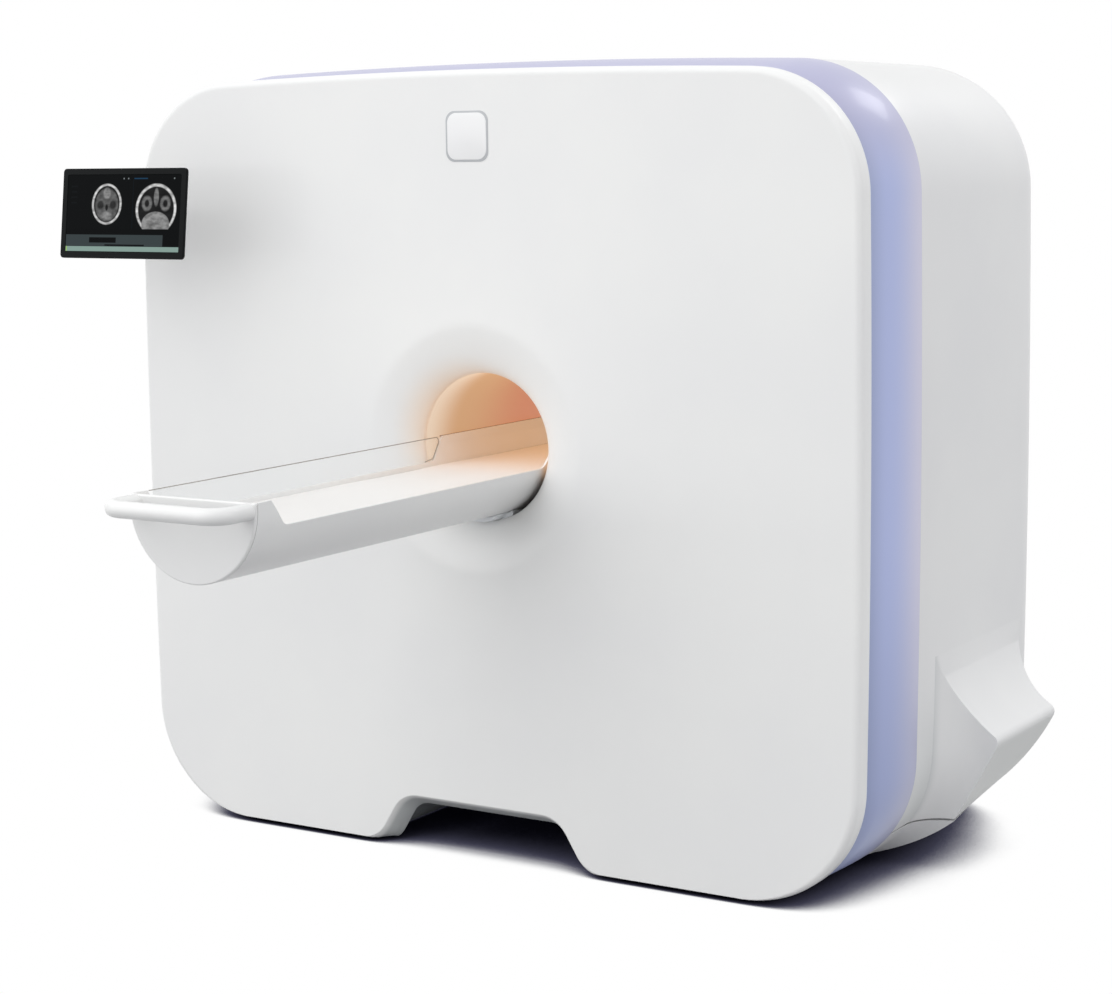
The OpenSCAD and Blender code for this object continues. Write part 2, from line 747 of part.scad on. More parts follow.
// Birdcage conductors: two end rings joined by twelve rungs.
module rf_birdcage() color([0.76, 0.46, 0.26]) on_axis() {
    y0 = vessel_y + 150;
    y1 = vessel_y + vessel_len - 150;
    for (y = [y0, y1 - 20])
        tube_y(rf_r + 5 + seat, rf_r + 8, y, y + 20);
    intersection() {
        tube_y(rf_r + 5 + seat, rf_r + 8, y0 + 10, y1 - 10);
        for (a = [0:30:330])
            rotate([0, a, 0]) box([0, y0 + 10, -8], [rf_r + 20, y1 - 10, 8]);
    }
}

// Rings that centre the radio coil in the gradient coil.
module rf_rings() color([0.25, 0.26, 0.28]) on_axis()
    for (y = [vessel_y + 112, vessel_y + vessel_len - 128])
        tube_y(rf_r + 5 + seat, grad_in - seat, y, y + 16);

// Bore

// Light ring between the bore mouth and the lining.
module bore_light_ring() color([1.0, 0.86, 0.72]) on_axis() difference() {
    tube_y(bore_r, bore_r + 8, mouth_r, mouth_r + ring_w);
    box([-rail_half - 1, mouth_r - 1, -bore_r - 30], [rail_half + 1, mouth_r + ring_w + 1, 0]);
}

// Bore lining: a tube with a channel for the rail along its lowest line.
module bore_lining() color([0.97, 0.90, 0.84]) on_axis() {
    y0 = mouth_r + ring_w;
    difference() {
        union() {
            tube_y(bore_r, bore_r + liner_wall, y0, rear_in);
            box([-rail_half - 5, y0, -rail_low - 4], [rail_half + 5, rear_in, -bore_r + 25]);
        }
        rod_y(bore_r, y0 - 1, rear_in + 1);
        box([-rail_half - 1, y0 - 1, -rail_low], [rail_half + 1, rear_in + 1, 0]);
    }
}

// Rail: a low nose that shows under the tray at the mouth, and a grooved bar along the bore.
nose_y = 17;
nose_r = 12;
nose_half = 24;
module tray_rail() color([0.74, 0.76, 0.78]) on_axis() difference() {
    union() {
        box([-rail_half, mouth_r + 1, -rail_low], [rail_half, rear_in - 2, -tray_r + 25]);
        slab(nose_y, mouth_r + 6) intersection() {
            circle(bore_r - seat);
            polygon(mirrored(concat([[0, -bore_r]],
                arc([nose_half, -bore_r + nose_r], nose_r, -90, -45, 6),
                [[nose_half + 34, -bore_r + 29], [0, -bore_r + 60]])));
        }
    }
    rod_y(tray_r + seat, -20, body_d);
    box([-slot_neck, slot_y0, -slot_z1 + 1], [slot_neck, slot_y1, -100]);
    box([-slot_head, slot_y0, -slot_z1], [slot_head, slot_y1, -slot_z0]);
}

// Electronics

// A cabinet on the frame with cooling fins on top and a raised front.
module cabinet(x0, x1, depth, h, fins) {
    y0 = depth[0];
    y1 = depth[1];
    box([x0, y0, beam_top], [x1, y1, beam_top + h]);
    box([x0 + 20, y0 - 6, beam_top + 20], [x1 - 20, y0, beam_top + h - 20]);
    for (i = [0:fins - 1])
        box([x0 + 15 + i * (x1 - x0 - 35) / (fins - 1), y0 + 15, beam_top + h],
            [x0 + 20 + i * (x1 - x0 - 35) / (fins - 1), y1 - 15, beam_top + h + cab_fin]);
}

// Gradient amplifier on the right front of the frame.
module gradient_amplifier() color([0.20, 0.22, 0.25]) place() cabinet(cab_in, cab_out, cab_front, cab_h, 12);

// Radio amplifier on the left front of the frame.
module rf_amplifier() color([0.22, 0.24, 0.27]) place() cabinet(-cab_out, -cab_in, cab_front, cab_h - 20, 10);

// Power supply on the right rear of the frame.
module power_supply() color([0.55, 0.56, 0.58]) place() cabinet(cab_in, cab_out, cab_rear, cab_h - 30, 6);

// Control unit on the left rear of the frame.
module control_unit() color([0.30, 0.31, 0.33]) place() cabinet(-cab_out, -cab_in, cab_rear, cab_h - 40, 4);

// Frame of the cooling fan behind the right air slots.
module fan_frame() color([0.15, 0.15, 0.16]) place() translate([vent_x, 0, vent_z]) {
    difference() {
        box([-82, rear_in - 40, -82], [82, rear_in, 82]);
        rod_y(75, rear_in - 41, rear_in + 1);
    }
    for (a = [0, 90])
        rotate([0, a, 0]) box([-78, rear_in - 40, -5], [78, rear_in - 34, 5]);
    rod_y(22, rear_in - 40, rear_in - 34);
    rod_y(5, rear_in - 34, rear_in - 14);
}

// Fan rotor: hub with seven pitched blades on the spindle.
module fan_rotor() color([0.18, 0.18, 0.19]) place() translate([vent_x, 0, vent_z]) difference() {
    union() {
        rod_y(24, rear_in - 33, rear_in - 10);
        intersection() {
            rod_y(71, rear_in - 32, rear_in - 8);
            for (i = [0:6])
                rotate([0, i * 360 / 7, 0]) translate([44, rear_in - 20, 0]) rotate([35, 0, 0])
                    cube([58, 3, 30], center = true);
        }
    }
    rod_y(5 + run, rear_in - 34, rear_in - 13);
}

// Tray

// Section of the tray: a half circle with straight sides up to the rim.
module tray_section(r) intersection() {
    union() {
        circle(r);
        translate([-r, 0]) square([2 * r, rim_rise]);
    }
    translate([-r - 1, -r - 1]) square([2 * r + 2, r + 1 + rim_rise]);
}

// Cut-out in the tray walls as an outline in depth and height, drawn d smaller at its ends.
cut_y0 = -tray_out + 44;
cut_y1 = 94;
cut_z = rim_rise - cut_depth;
function cut_points(d) = let(r = 26, run_y = 40, a = atan2(cut_depth, run_y), t = r * tan(a / 2))
    concat([[cut_y1 - d + 8, rim_rise + 10], [cut_y0 + d - 8, rim_rise + 10]],
        arc([cut_y0 + d + run_y + t, cut_z + r], r, 270 - a, 270, 6),
        arc([cut_y1 - d - run_y - t, cut_z + r], r, 270, 270 + a, 6));

// The cut-out as a bar across the tray.
module cut_bar(d, x0, x1)
    translate([x0, 0, 0]) rotate([90, 0, 90]) linear_extrude(x1 - x0) polygon(cut_points(d));

// Tray shell: the moulded trough with cut-outs in both walls and a low rear wall.
module tray_shell() color([0.96, 0.96, 0.95]) on_axis() {
    difference() {
        slab(-tray_out + cap_t, tray_in) difference() {
            tray_section(tray_r);
            translate([0, 0.01]) tray_section(tray_r - tray_wall);
            translate([-tray_r + tray_wall, 0]) square([2 * (tray_r - tray_wall), rim_rise + 1]);
        }
        cut_bar(0, -tray_r - 5, tray_r + 5);
    }
    slab(tray_in - 8, tray_in) intersection() {
        circle(tray_r - 1);
        translate([-tray_r, -tray_r]) square([2 * tray_r, tray_r - mat_drop]);
    }
}

// End cap of the tray: the half disc that faces the room.
module tray_end_cap() color([0.95, 0.95, 0.94]) on_axis()
    slab(-tray_out, -tray_out + cap_t) tray_section(tray_r);

// Handle: a round bar bent to a loop in front of the end cap.
module tray_handle() color([0.96, 0.96, 0.95]) on_axis() translate([0, -tray_out, rim_rise - handle_d / 2]) {
    half = tray_r - handle_d / 2;
    bend = 36;
    for (s = [-1, 1]) {
        translate([s * half, 0, 0]) rod_y(handle_d / 2, -handle_out + bend, 0);
        translate([s * (half - bend), -handle_out + bend, 0]) rotate([0, 0, s > 0 ? 270 : 180])
            rotate_extrude(angle = 90) translate([bend, 0]) circle(handle_d / 2);
    }
    translate([-half + bend, -handle_out, 0]) rotate([0, 90, 0])
        cylinder(d = handle_d, h = 2 * (half - bend));
}

// Deck inside the tray that carries the mattress.
deck_top = -mat_drop - mat_t - seat;
deck_half = sqrt((tray_r - tray_wall) * (tray_r - tray_wall) - (deck_top - 5) * (deck_top - 5)) - seat;
module tray_deck() color([0.90, 0.90, 0.90]) on_axis()
    box([-deck_half, -tray_out + cap_t, deck_top - 5], [deck_half, tray_in - 8, deck_top]);

// Shoe under the rear of the tray, held in the groove of the rail.
module tray_shoe() color([0.30, 0.31, 0.33]) on_axis() {
    difference() {
        box([-slot_neck + seat, shoe_y0, -slot_z0 - 1], [slot_neck - seat, shoe_y1, -tray_r + 12]);
        rod_y(tray_r + 0.2, 0, tray_in + 10);
    }
    box([-slot_head + seat, shoe_y0, -slot_z1 + seat], [slot_head - seat, shoe_y1, -slot_z0 - seat]);
}

// Mattress on the deck.
module mattress() color([0.97, 0.97, 0.96]) on_axis()
    slab(-tray_out + cap_t + 2, tray_in - 10) intersection() {
        circle(tray_r - tray_wall - 1);
        translate([-tray_r, -mat_drop - mat_t]) square([2 * tray_r, mat_t]);
    }

// Clear guard in the left cut-out of the tray.
module side_guard() color([0.85, 0.92, 0.95, 0.4]) on_axis() intersection() {
    slab(cut_y0, cut_y1) intersection() {
        difference() {
            tray_section(tray_r - 1);
            tray_section(tray_r - 4);
            translate([-tray_r + 4, 0]) square([2 * tray_r - 8, 50]);
        }
        translate([-tray_r, -tray_r]) square([tray_r, 2 * tray_r]);
    }
    cut_bar(0.5, -tray_r - 5, 0);
}

// Monitor arm

// Bracket on the left wall of the housing with two lugs for the arm pin.
module arm_bracket() color([0.80, 0.81, 0.82]) place() difference() {
    union() {
        slab(pivot_y - 42, pivot_y + 42) intersection() {
            polygon(outline(shell_grow + 14, low_z - 14));
            translate([-2 * shell_half, mon_z - 52]) square([shell_half + corner_r, 104]);
        }
        for (z = [mon_z - 28, mon_z + 14]) {
            translate([-pivot_x, pivot_y, z]) cylinder(r = 22, h = 14);
            box([-pivot_x, pivot_y - 22, z], [corner_r - shell_half, pivot_y + 22, z + 14]);
        }
    }
    slab(pivot_y - 60, pivot_y + 60) polygon(outline(shell_grow + seat, low_z - seat));
    translate([-pivot_x, pivot_y, mon_z - 60]) cylinder(r = 8 + run, h = 120);
}

// Pin between bracket and swing arm.
module arm_pin() color([0.60, 0.62, 0.64]) place() translate([-pivot_x, pivot_y, mon_z]) {
    translate([0, 0, -32]) cylinder(r = 8, h = 64);
    translate([0, 0, 28 + seat]) cylinder(r = 13, h = 5);
    translate([0, 0, -33 - seat]) cylinder(r = 13, h = 5);
}

// Swing arm: a bent tube with a boss at each end.
module swing_arm() color([0.82, 0.83, 0.84]) place() translate([0, 0, mon_z]) difference() {
    union() {
        translate([-pivot_x, pivot_y, -14 + seat]) cylinder(r = 20, h = 28 - 2 * seat);
        translate([-mon_x, head_y, -14 + seat]) cylinder(r = 18, h = 28 - 2 * seat);
        translate([-pivot_x, 0, 0]) rod_y(arm_d / 2, head_y + bend_r, pivot_y);
        translate([-pivot_x + bend_r, head_y + bend_r, 0]) rotate([0, 0, 180])
            rotate_extrude(angle = 90) translate([bend_r, 0]) circle(arm_d / 2);
        translate([-pivot_x + bend_r, head_y, 0]) rotate([0, 90, 0])
            cylinder(d = arm_d, h = pivot_x - bend_r - mon_x);
    }
    translate([-pivot_x, pivot_y, -30]) cylinder(r = 8 + run, h = 60);
    translate([-mon_x, head_y, -30]) cylinder(r = 7 + run, h = 60);
}

// Pin between swing arm and swivel head.
module head_pin() color([0.60, 0.62, 0.64]) place() translate([-mon_x, head_y, mon_z]) {
    translate([0, 0, -30]) cylinder(r = 7, h = 60);
    translate([0, 0, 28 + seat]) cylinder(r = 11, h = 4);
    translate([0, 0, -32 - seat]) cylinder(r = 11, h = 4);
}

// Swivel head: fork around the arm boss with the barrel of the tilt pin in front.
module swivel_head() color([0.20, 0.21, 0.22]) place() translate([-mon_x, head_y, mon_z]) difference() {
    union() {
        for (z = [-28, 14]) {
            translate([0, 0, z]) cylinder(r = 17, h = 14);
            box([-17, -28, z], [17, 0, z + 14]);
        }
        box([-17, -32, -28], [17, -20, 28]);
        translate([-20, -40, 0]) rotate([0, 90, 0]) cylinder(r = 12, h = 40);
    }
    translate([0, 0, -40]) cylinder(r = 7 + run, h = 80);
    translate([-30, -40, 0]) rotate([0, 90, 0]) cylinder(r = 5 + run, h = 60);
}

// Moves a piece from the tilt axis of the monitor into place.
module on_tilt() place() translate([-mon_x, tilt_y, mon_z]) rotate([-mon_lean, 0, 0]) children();

// Pin of the tilt joint.
module tilt_pin() color([0.60, 0.62, 0.64]) on_tilt() translate([-34, 0, 0]) rotate([0, 90, 0]) {
    cylinder(r = 5, h = 68);
    cylinder(r = 8, h = 3);
    translate([0, 0, 65]) cylinder(r = 8, h = 3);
}

// Monitor housing with its two tilt lugs.
module monitor_housing() color([0.12, 0.12, 0.13]) on_tilt() difference() {
    union() {
        slab(-tilt_back - mon_t + 4, -tilt_back - mon_t + 4 + mon_edge) round_rect(mon_w, mon_h, 8);
        slab(-tilt_back - mon_t + 3 + mon_edge, -tilt_back - 8)
            round_rect(mon_w - 2 * mon_step, mon_h - 2 * mon_step, 8);
        slab(-tilt_back - 9, -tilt_back) round_rect(mon_w - 60, mon_h - 50, 10);
        for (x = [-30.5, 20.5]) {
            translate([x, 0, 0]) rotate([0, 90, 0]) cylinder(r = 11, h = 10);
            box([x, -tilt_back - 1, -11], [x + 10, 0, 11]);
        }
    }
    translate([-40, 0, 0]) rotate([0, 90, 0]) cylinder(r = 5 + run, h = 80);
}

// Frame around the screen.
module monitor_bezel() color([0.08, 0.08, 0.09]) on_tilt()
    slab(-tilt_back - mon_t, -tilt_back - mon_t + 4) difference() {
        round_rect(mon_w, mon_h, 8);
        round_rect(mon_w - 2 * bezel_w, mon_h - 2 * bezel_w, 3);
    }

// Screen inside the frame.
module monitor_screen() color([0.10, 0.12, 0.15]) on_tilt()
    slab(-tilt_back - mon_t + 1, -tilt_back - mon_t + 4)
        round_rect(mon_w - 2 * (bezel_w + seat), mon_h - 2 * (bezel_w + seat), 3 - seat);
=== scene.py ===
"""Looks of a compact infant MRI scanner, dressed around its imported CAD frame.

Metres, in the frame of the part: +X to the viewer's right, +Y into the machine, +Z up.
"""

import logging
import math
from dataclasses import dataclass
from enum import Enum

import bmesh
import bpy
from mathutils import Matrix, Vector


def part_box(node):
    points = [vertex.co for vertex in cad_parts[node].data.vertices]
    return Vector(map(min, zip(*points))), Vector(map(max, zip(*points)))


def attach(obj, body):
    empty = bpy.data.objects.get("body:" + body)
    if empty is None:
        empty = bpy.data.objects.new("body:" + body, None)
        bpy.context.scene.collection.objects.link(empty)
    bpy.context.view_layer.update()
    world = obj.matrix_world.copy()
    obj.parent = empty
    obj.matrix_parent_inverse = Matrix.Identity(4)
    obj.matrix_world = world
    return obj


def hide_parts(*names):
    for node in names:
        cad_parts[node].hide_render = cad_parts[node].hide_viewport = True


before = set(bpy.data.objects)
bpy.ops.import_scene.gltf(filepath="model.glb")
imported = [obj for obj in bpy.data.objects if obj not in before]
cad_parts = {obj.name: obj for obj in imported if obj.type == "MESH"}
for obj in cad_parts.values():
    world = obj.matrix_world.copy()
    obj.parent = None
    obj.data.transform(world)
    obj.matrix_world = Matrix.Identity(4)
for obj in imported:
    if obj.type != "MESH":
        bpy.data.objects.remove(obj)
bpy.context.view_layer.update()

logging.basicConfig(level=logging.INFO, format="%(message)s")
LOG = logging.getLogger("scanner")

Flat = tuple[float, float]
Point = tuple[float, float, float]
Colour = tuple[float, float, float, float]
Path = list[Flat]
Ring = list[Point]
Tones = tuple[Colour, Colour, Colour]
Socket = bpy.types.NodeSocket
Node = bpy.types.Node
Piece = bpy.types.Object

# Depth of the cover's front face and height of the foot pads in the frame of the part
FRONT_Y = 0.0125
FOOT_H = 0.010
INTO: Point = (0.0, 1.0, 0.0)
UP: Point = (0.0, 0.0, 1.0)
WHITE: Colour = (1.0, 1.0, 1.0, 1.0)
BLACK: Colour = (0.0, 0.0, 0.0, 1.0)
CRISP_ANGLE = 32.0
FAR = 100.0


class Body(Enum):
    """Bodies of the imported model."""

    SCANNER = "scanner"
    TRAY = "tray"
    ARM = "arm"
    HEAD = "head"
    SCREEN = "screen"
    FAN = "fan"


class Relief(Enum):
    """Kinds of fine surface relief, each made by one shader group."""

    PEEL = "paint_peel"
    GRAIN = "moulded_grain"
    BRUSHED = "brushed_lines"
    VINYL = "vinyl_cells"


def srgb(red: float, green: float, blue: float) -> Colour:
    """Turns a display colour into the linear colour that shaders take.

    Args:
        red: Red from 0 to 255.
        green: Green from 0 to 255.
        blue: Blue from 0 to 255.

    Returns:
        The linear colour with full alpha.
    """
    def linear(value: float) -> float:
        """Linear value of one display channel."""
        share = value / 255
        return share / 12.92 if share <= 0.04045 else ((share + 0.055) / 1.055) ** 2.4

    return linear(red), linear(green), linear(blue), 1.0


class Tree:
    """Short calls that add and join the nodes of one tree."""

    def __init__(self, tree: bpy.types.NodeTree) -> None:
        """Keeps the node tree that the calls work on."""
        self.tree = tree

    def add(self, kind: str, inputs: dict[str | int, object] | None = None, **settings: object) -> Node:
        """Adds a node, sets its properties and joins or sets its inputs.

        Args:
            kind: The node's type name.
            inputs: Values or sockets for the inputs, by name or number.
            settings: Properties of the node.

        Returns:
            The new node.
        """
        node = self.tree.nodes.new(kind)
        for key, value in settings.items():
            setattr(node, key, value)
        for key, value in (inputs or {}).items():
            self.feed(node.inputs[key], value)
        return node

    def feed(self, socket: Socket, value: object) -> None:
        """Joins a socket to an input, or sets the input's value.

        Args:
            socket: The input.
            value: Another node's output, or a plain value.
        """
        if isinstance(value, Socket):
            self.tree.links.new(value, socket)
        else:
            socket.default_value = value

    def math(self, operation: str, a: object, b: object = 0.0, clamp: bool = False) -> Socket:
        """Adds a math node on one or two values and gives its result."""
        return self.add("ShaderNodeMath", {0: a, 1: b}, operation=operation, use_clamp=clamp).outputs[0]

    def vector(self, operation: str, *values: object) -> Socket:
        """Adds a vector math node and gives its vector, or the number of a length or dot product."""
        node = self.add("ShaderNodeVectorMath", dict(enumerate(values)), operation=operation)
        return node.outputs["Value" if operation in ("LENGTH", "DOT_PRODUCT") else "Vector"]

    def mix(self, factor: object, a: object, b: object) -> Socket:
        """Adds a mix of two colours and gives the colour."""
        return self.add("ShaderNodeMix", {0: factor, 6: a, 7: b}, data_type="RGBA").outputs[2]

    def spread(self, value: object, low: object, high: object,
               to_low: float = 0.0, to_high: float = 1.0) -> Socket:
        """Adds a smooth map from one range to another and gives the mapped value."""
        inputs = dict(enumerate((value, low, high, to_low, to_high)))
        return self.add("ShaderNodeMapRange", inputs, interpolation_type="SMOOTHSTEP").outputs[0]

    def noise(self, where: Socket, scale: object, detail: float = 2.0) -> Socket:
        """Adds a cloud of noise and gives its value from 0 to 1."""
        inputs = {"Vector": where, "Scale": scale, "Detail": detail}
        return self.add("ShaderNodeTexNoise", inputs).outputs[0]

    def cells(self, where: Socket, scale: object, feature: str) -> Socket:
        """Adds a field of cells and gives the distance that the feature names."""
        inputs = {"Vector": where, "Scale": scale}
        return self.add("ShaderNodeTexVoronoi", inputs, feature=feature).outputs[0]


class Effects:
    """Shader groups that more than one material uses, each built once."""

    vectors = ("Vector", "Axis", "Centre", "Radii", "Half")
    colours = ("Light", "Dark", "Colour")
    box_sharpness = 400.0

    def __init__(self) -> None:
        """Starts with no group."""
        self.made: dict[str, bpy.types.NodeTree] = {}

    def socket_type(self, label: str) -> str:
        """Type of a group's socket, told from its name."""
        kinds = dict.fromkeys(self.vectors, "Vector") | dict.fromkeys(self.colours, "Color")
        return f"NodeSocket{kinds.get(label, 'Float')}"

    def begin(self, name: str, inputs: tuple[str, ...], output: str) -> tuple[Tree, list[Socket], Socket]:
        """Makes an empty group with its sockets.

        Args:
            name: Name of the group.
            inputs: Names of its inputs.
            output: Name of its output.

        Returns:
            The tree helper, the input sockets in order and the output socket.
        """
        tree = bpy.data.node_groups.new(name, "ShaderNodeTree")
        for label in inputs:
            tree.interface.new_socket(label, in_out="INPUT", socket_type=self.socket_type(label))
        tree.interface.new_socket(output, in_out="OUTPUT", socket_type=self.socket_type(output))
        helper = Tree(tree)
        start = helper.add("NodeGroupInput")
        end = helper.add("NodeGroupOutput")
        self.made[name] = tree
        return helper, [start.outputs[label] for label in inputs], end.inputs[output]

    def group(self, name: str) -> bpy.types.NodeTree:
        """Gives a group, building it on first use.

        Args:
            name: Name of the group.

        Returns:
            The group's tree.
        """
        if name not in self.made:
            getattr(self, name)()
        return self.made[name]

    def paint_peel(self) -> None:
        """Soft waves of a sprayed coat."""
        t, (where, scale), height = self.begin("paint_peel", ("Vector", "Scale"), "Height")
        wide = t.noise(where, scale, 1.0)
        fine = t.noise(where, t.math("MULTIPLY", scale, 5.0))
        t.feed(height, t.math("ADD", wide, t.math("MULTIPLY", fine, 0.25)))

    def moulded_grain(self) -> None:
        """Fine pitted grain of a moulded plastic."""
        t, (where, scale), height = self.begin("moulded_grain", ("Vector", "Scale"), "Height")
        cloud = t.math("MULTIPLY", t.noise(where, scale), 0.5)
        t.feed(height, t.math("ADD", t.cells(where, scale, "SMOOTH_F1"), cloud))

    def brushed_lines(self) -> None:
        """Long fine scratches along Y."""
        t, (where, scale), height = self.begin("brushed_lines", ("Vector", "Scale"), "Height")
        t.feed(height, t.noise(t.vector("MULTIPLY", where, (1.0, 0.02, 1.0)), scale, 3.0))

    def vinyl_cells(self) -> None:
        """Shallow cells of a coated cloth."""
        t, (where, scale), height = self.begin("vinyl_cells", ("Vector", "Scale"), "Height")
        t.feed(height, t.spread(t.cells(where, scale, "DISTANCE_TO_EDGE"), 0.0, 0.25))

    def tone_drift(self) -> None:
        """Slow drift between two near tones."""
        t, (where, light, dark, scale), colour = self.begin(
            "tone_drift", ("Vector", "Light", "Dark", "Scale"), "Colour")
        t.feed(colour, t.mix(t.spread(t.noise(where, scale, 3.0), 0.3, 0.7), light, dark))

    def rough_drift(self) -> None:
        """Slow drift of the gloss, as wiped surfaces have."""
        t, (where, level, swing), gloss = self.begin(
            "rough_drift", ("Vector", "Level", "Spread"), "Roughness")
        cloud = t.math("SUBTRACT", t.noise(where, 6.0, 4.0), 0.5)
        t.feed(gloss, t.math("ADD", level, t.math("MULTIPLY", cloud, swing), clamp=True))

    def axis_fade(self) -> None:
        """Smooth share from 0 to 1 between two levels along an axis."""
        t, (where, axis, start, end), share = self.begin(
            "axis_fade", ("Vector", "Axis", "Start", "End"), "Share")
        t.feed(share, t.spread(t.vector("DOT_PRODUCT", where, axis), start, end))

    def soft_oval(self) -> None:
        """Mask of an oval with a soft edge, in X and Z."""
        t, (where, centre, radii, edge), mask = self.begin(
            "soft_oval", ("Vector", "Centre", "Radii", "Edge"), "Mask")
        scaled = t.vector("DIVIDE", t.vector("SUBTRACT", where, centre), radii)
        inside = t.math("SUBTRACT", 1.0, t.vector("LENGTH", scaled))
        t.feed(mask, t.math("DIVIDE", inside, edge, clamp=True))

    def soft_box(self) -> None:
        """Mask of an upright rectangle, in X and Z."""
        t, (where, centre, half), mask = self.begin("soft_box", ("Vector", "Centre", "Half"), "Mask")
        left = t.vector("SUBTRACT", half, t.vector("ABSOLUTE", t.vector("SUBTRACT", where, centre)))
        parts = t.add("ShaderNodeSeparateXYZ", {0: left}).outputs
        nearest = t.math("MINIMUM", parts[0], parts[2])
        t.feed(mask, t.math("MULTIPLY", nearest, self.box_sharpness, clamp=True))


EFFECTS = Effects()


class Surface(Tree):
    """The nodes of one material, which work on its object coordinates."""

    def __init__(self, tree: bpy.types.NodeTree) -> None:
        """Keeps the material's tree and adds the coordinates."""
        super().__init__(tree)
        self.where = self.add("ShaderNodeTexCoord").outputs["Object"]

    def group(self, name: str, **inputs: object) -> Socket:
        """Places a shared effect, on these coordinates unless it gets others, and gives its output."""
        tree = EFFECTS.group(name)
        return self.add("ShaderNodeGroup", {"Vector": self.where, **inputs}, node_tree=tree).outputs[0]

    def fade(self, axis: Point, levels: Flat) -> Socket:
        """Share that runs from 0 to 1 between two levels along an axis."""
        return self.group("axis_fade", Axis=axis, Start=levels[0], End=levels[1])

    def inward(self, tones: Tones, depths: Point) -> Socket:
        """Colour that runs over three tones into the machine."""
        front = self.mix(self.fade(INTO, depths[:2]), tones[0], tones[1])
        return self.mix(self.fade(INTO, depths[1:]), front, tones[2])


@dataclass(frozen=True)
class Finish:
    """A surface with two near tones, a gloss that drifts and a fine relief."""

    name: str
    light: Colour
    dark: Colour
    roughness: float = 0.4
    relief: Relief = Relief.PEEL
    relief_scale: float = 120.0
    relief_depth: float = 0.0004
    metallic: float = 0.0
    coat: float = 0.0
    sheen: float = 0.0
    specular: float = 0.5
    coat_roughness: float = 0.12
    gloss_swing: float = 0.25
    tone_scale: float = 2.5

    def material(self) -> bpy.types.Material:
        """Gives the material, made on first use."""
        found = bpy.data.materials.get(self.name)
        return found or self.build()

    def build(self) -> bpy.types.Material:
        """Makes the material with its nodes.

        Returns:
            The new material.
        """
        made = bpy.data.materials.new(self.name)
        made.use_nodes = True
        made.diffuse_color = self.light
        s = Surface(made.node_tree)
        shader = made.node_tree.nodes["Principled BSDF"]
        swing = self.gloss_swing * self.roughness
        height = s.group(self.relief.value, Scale=self.relief_scale)
        bump = s.add("ShaderNodeBump", {"Strength": 1.0, "Distance": self.relief_depth, "Height": height})
        s.feed(shader.inputs["Base Color"], self.colour(s))
        s.feed(shader.inputs["Roughness"], s.group("rough_drift", Level=self.roughness, Spread=swing))
        s.feed(shader.inputs["Normal"], bump.outputs[0])
        shader.inputs["Metallic"].default_value = self.metallic
        shader.inputs["Coat Weight"].default_value = self.coat
        shader.inputs["Coat Roughness"].default_value = self.coat_roughness
        shader.inputs["Sheen Weight"].default_value = self.sheen
        shader.inputs["Specular IOR Level"].default_value = self.specular
        self.extra(s, shader)
        return made

    def colour(self, s: Surface) -> Socket:
        """Colour of the surface, as a socket among its nodes."""
        return s.group("tone_drift", Light=self.light, Dark=self.dark, Scale=self.tone_scale)

    def extra(self, s: Surface, shader: Node) -> None:
        """What a special finish adds to the nodes and the shader; a plain one adds nothing."""


@dataclass(frozen=True)
class GlowAndShadeCover(Finish):
    """Cover paint with a painted warm glow on the rolled mouth of the bore and painted shade on the wall of
    the arch.
    """

    # Painted warm glow of the bore's light on the roll: its oval mask, its colour and its emission.
    centre: Point = (-0.035, 0.0, 0.875)
    reach: float = 0.178
    share: float = 0.60
    painted_glow: Colour = srgb(240, 218, 194)
    lift: Colour = (0.05, 0.03, 0.015, 1.0)
    # Painted shade on the wall of the arch behind the face.
    arch_centre: Point = (0.0, 0.0, 0.060)
    arch_half: Point = (0.345, 1.0, 0.064)
    arch_depth: Flat = (FRONT_Y + 0.003, FRONT_Y + 0.016)
    arch_painted_shade: Colour = srgb(202, 205, 204)

    def glow_share(self, s: Surface) -> Socket:
        """Share of the painted glow, which rises from the flat face to the inner end of the roll."""
        radii = (self.reach, FAR, self.reach)
        return s.spread(s.group("soft_oval", Centre=self.centre, Radii=radii, Edge=self.share), 0.0, 1.0)

    def colour(self, s: Surface) -> Socket:
        """White paint with a painted warm glow round the bore and painted shade on the wall of the arch.

        Args:
            s: The material's nodes.

        Returns:
            The colour.
        """
        inside = s.group("soft_box", Centre=self.arch_centre, Half=self.arch_half)
        shaded = s.math("MULTIPLY", inside, s.fade(INTO, self.arch_depth))
        paint = s.mix(shaded, super().colour(s), self.arch_painted_shade)
        return s.mix(self.glow_share(s), paint, self.painted_glow)

    def extra(self, s: Surface, shader: Node) -> None:
        """Adds the painted glow as emission: the light that the lining throws on the roll."""
        shader.inputs["Emission Color"].default_value = self.lift
        s.feed(shader.inputs["Emission Strength"], self.glow_share(s))


@dataclass(frozen=True)
class Shade:
    """One band of painted shade: a smooth change of tone between two levels along an axis."""

    axis: Point
    levels: Flat
    tone: Colour


@dataclass(frozen=True)
class ShadedPaint(Finish):
    """Paint with bands of painted shade, whose tone changes smoothly along given axes."""

    shades: tuple[Shade, ...] = ()

    def colour(self, s: Surface) -> Socket:
        """Paint with its painted shade.

        Args:
            s: The material's nodes.

        Returns:
            The colour.
        """
        shown = super().colour(s)
        for part in self.shades:
            shown = s.mix(s.fade(part.axis, part.levels), shown, part.tone)
        return shown


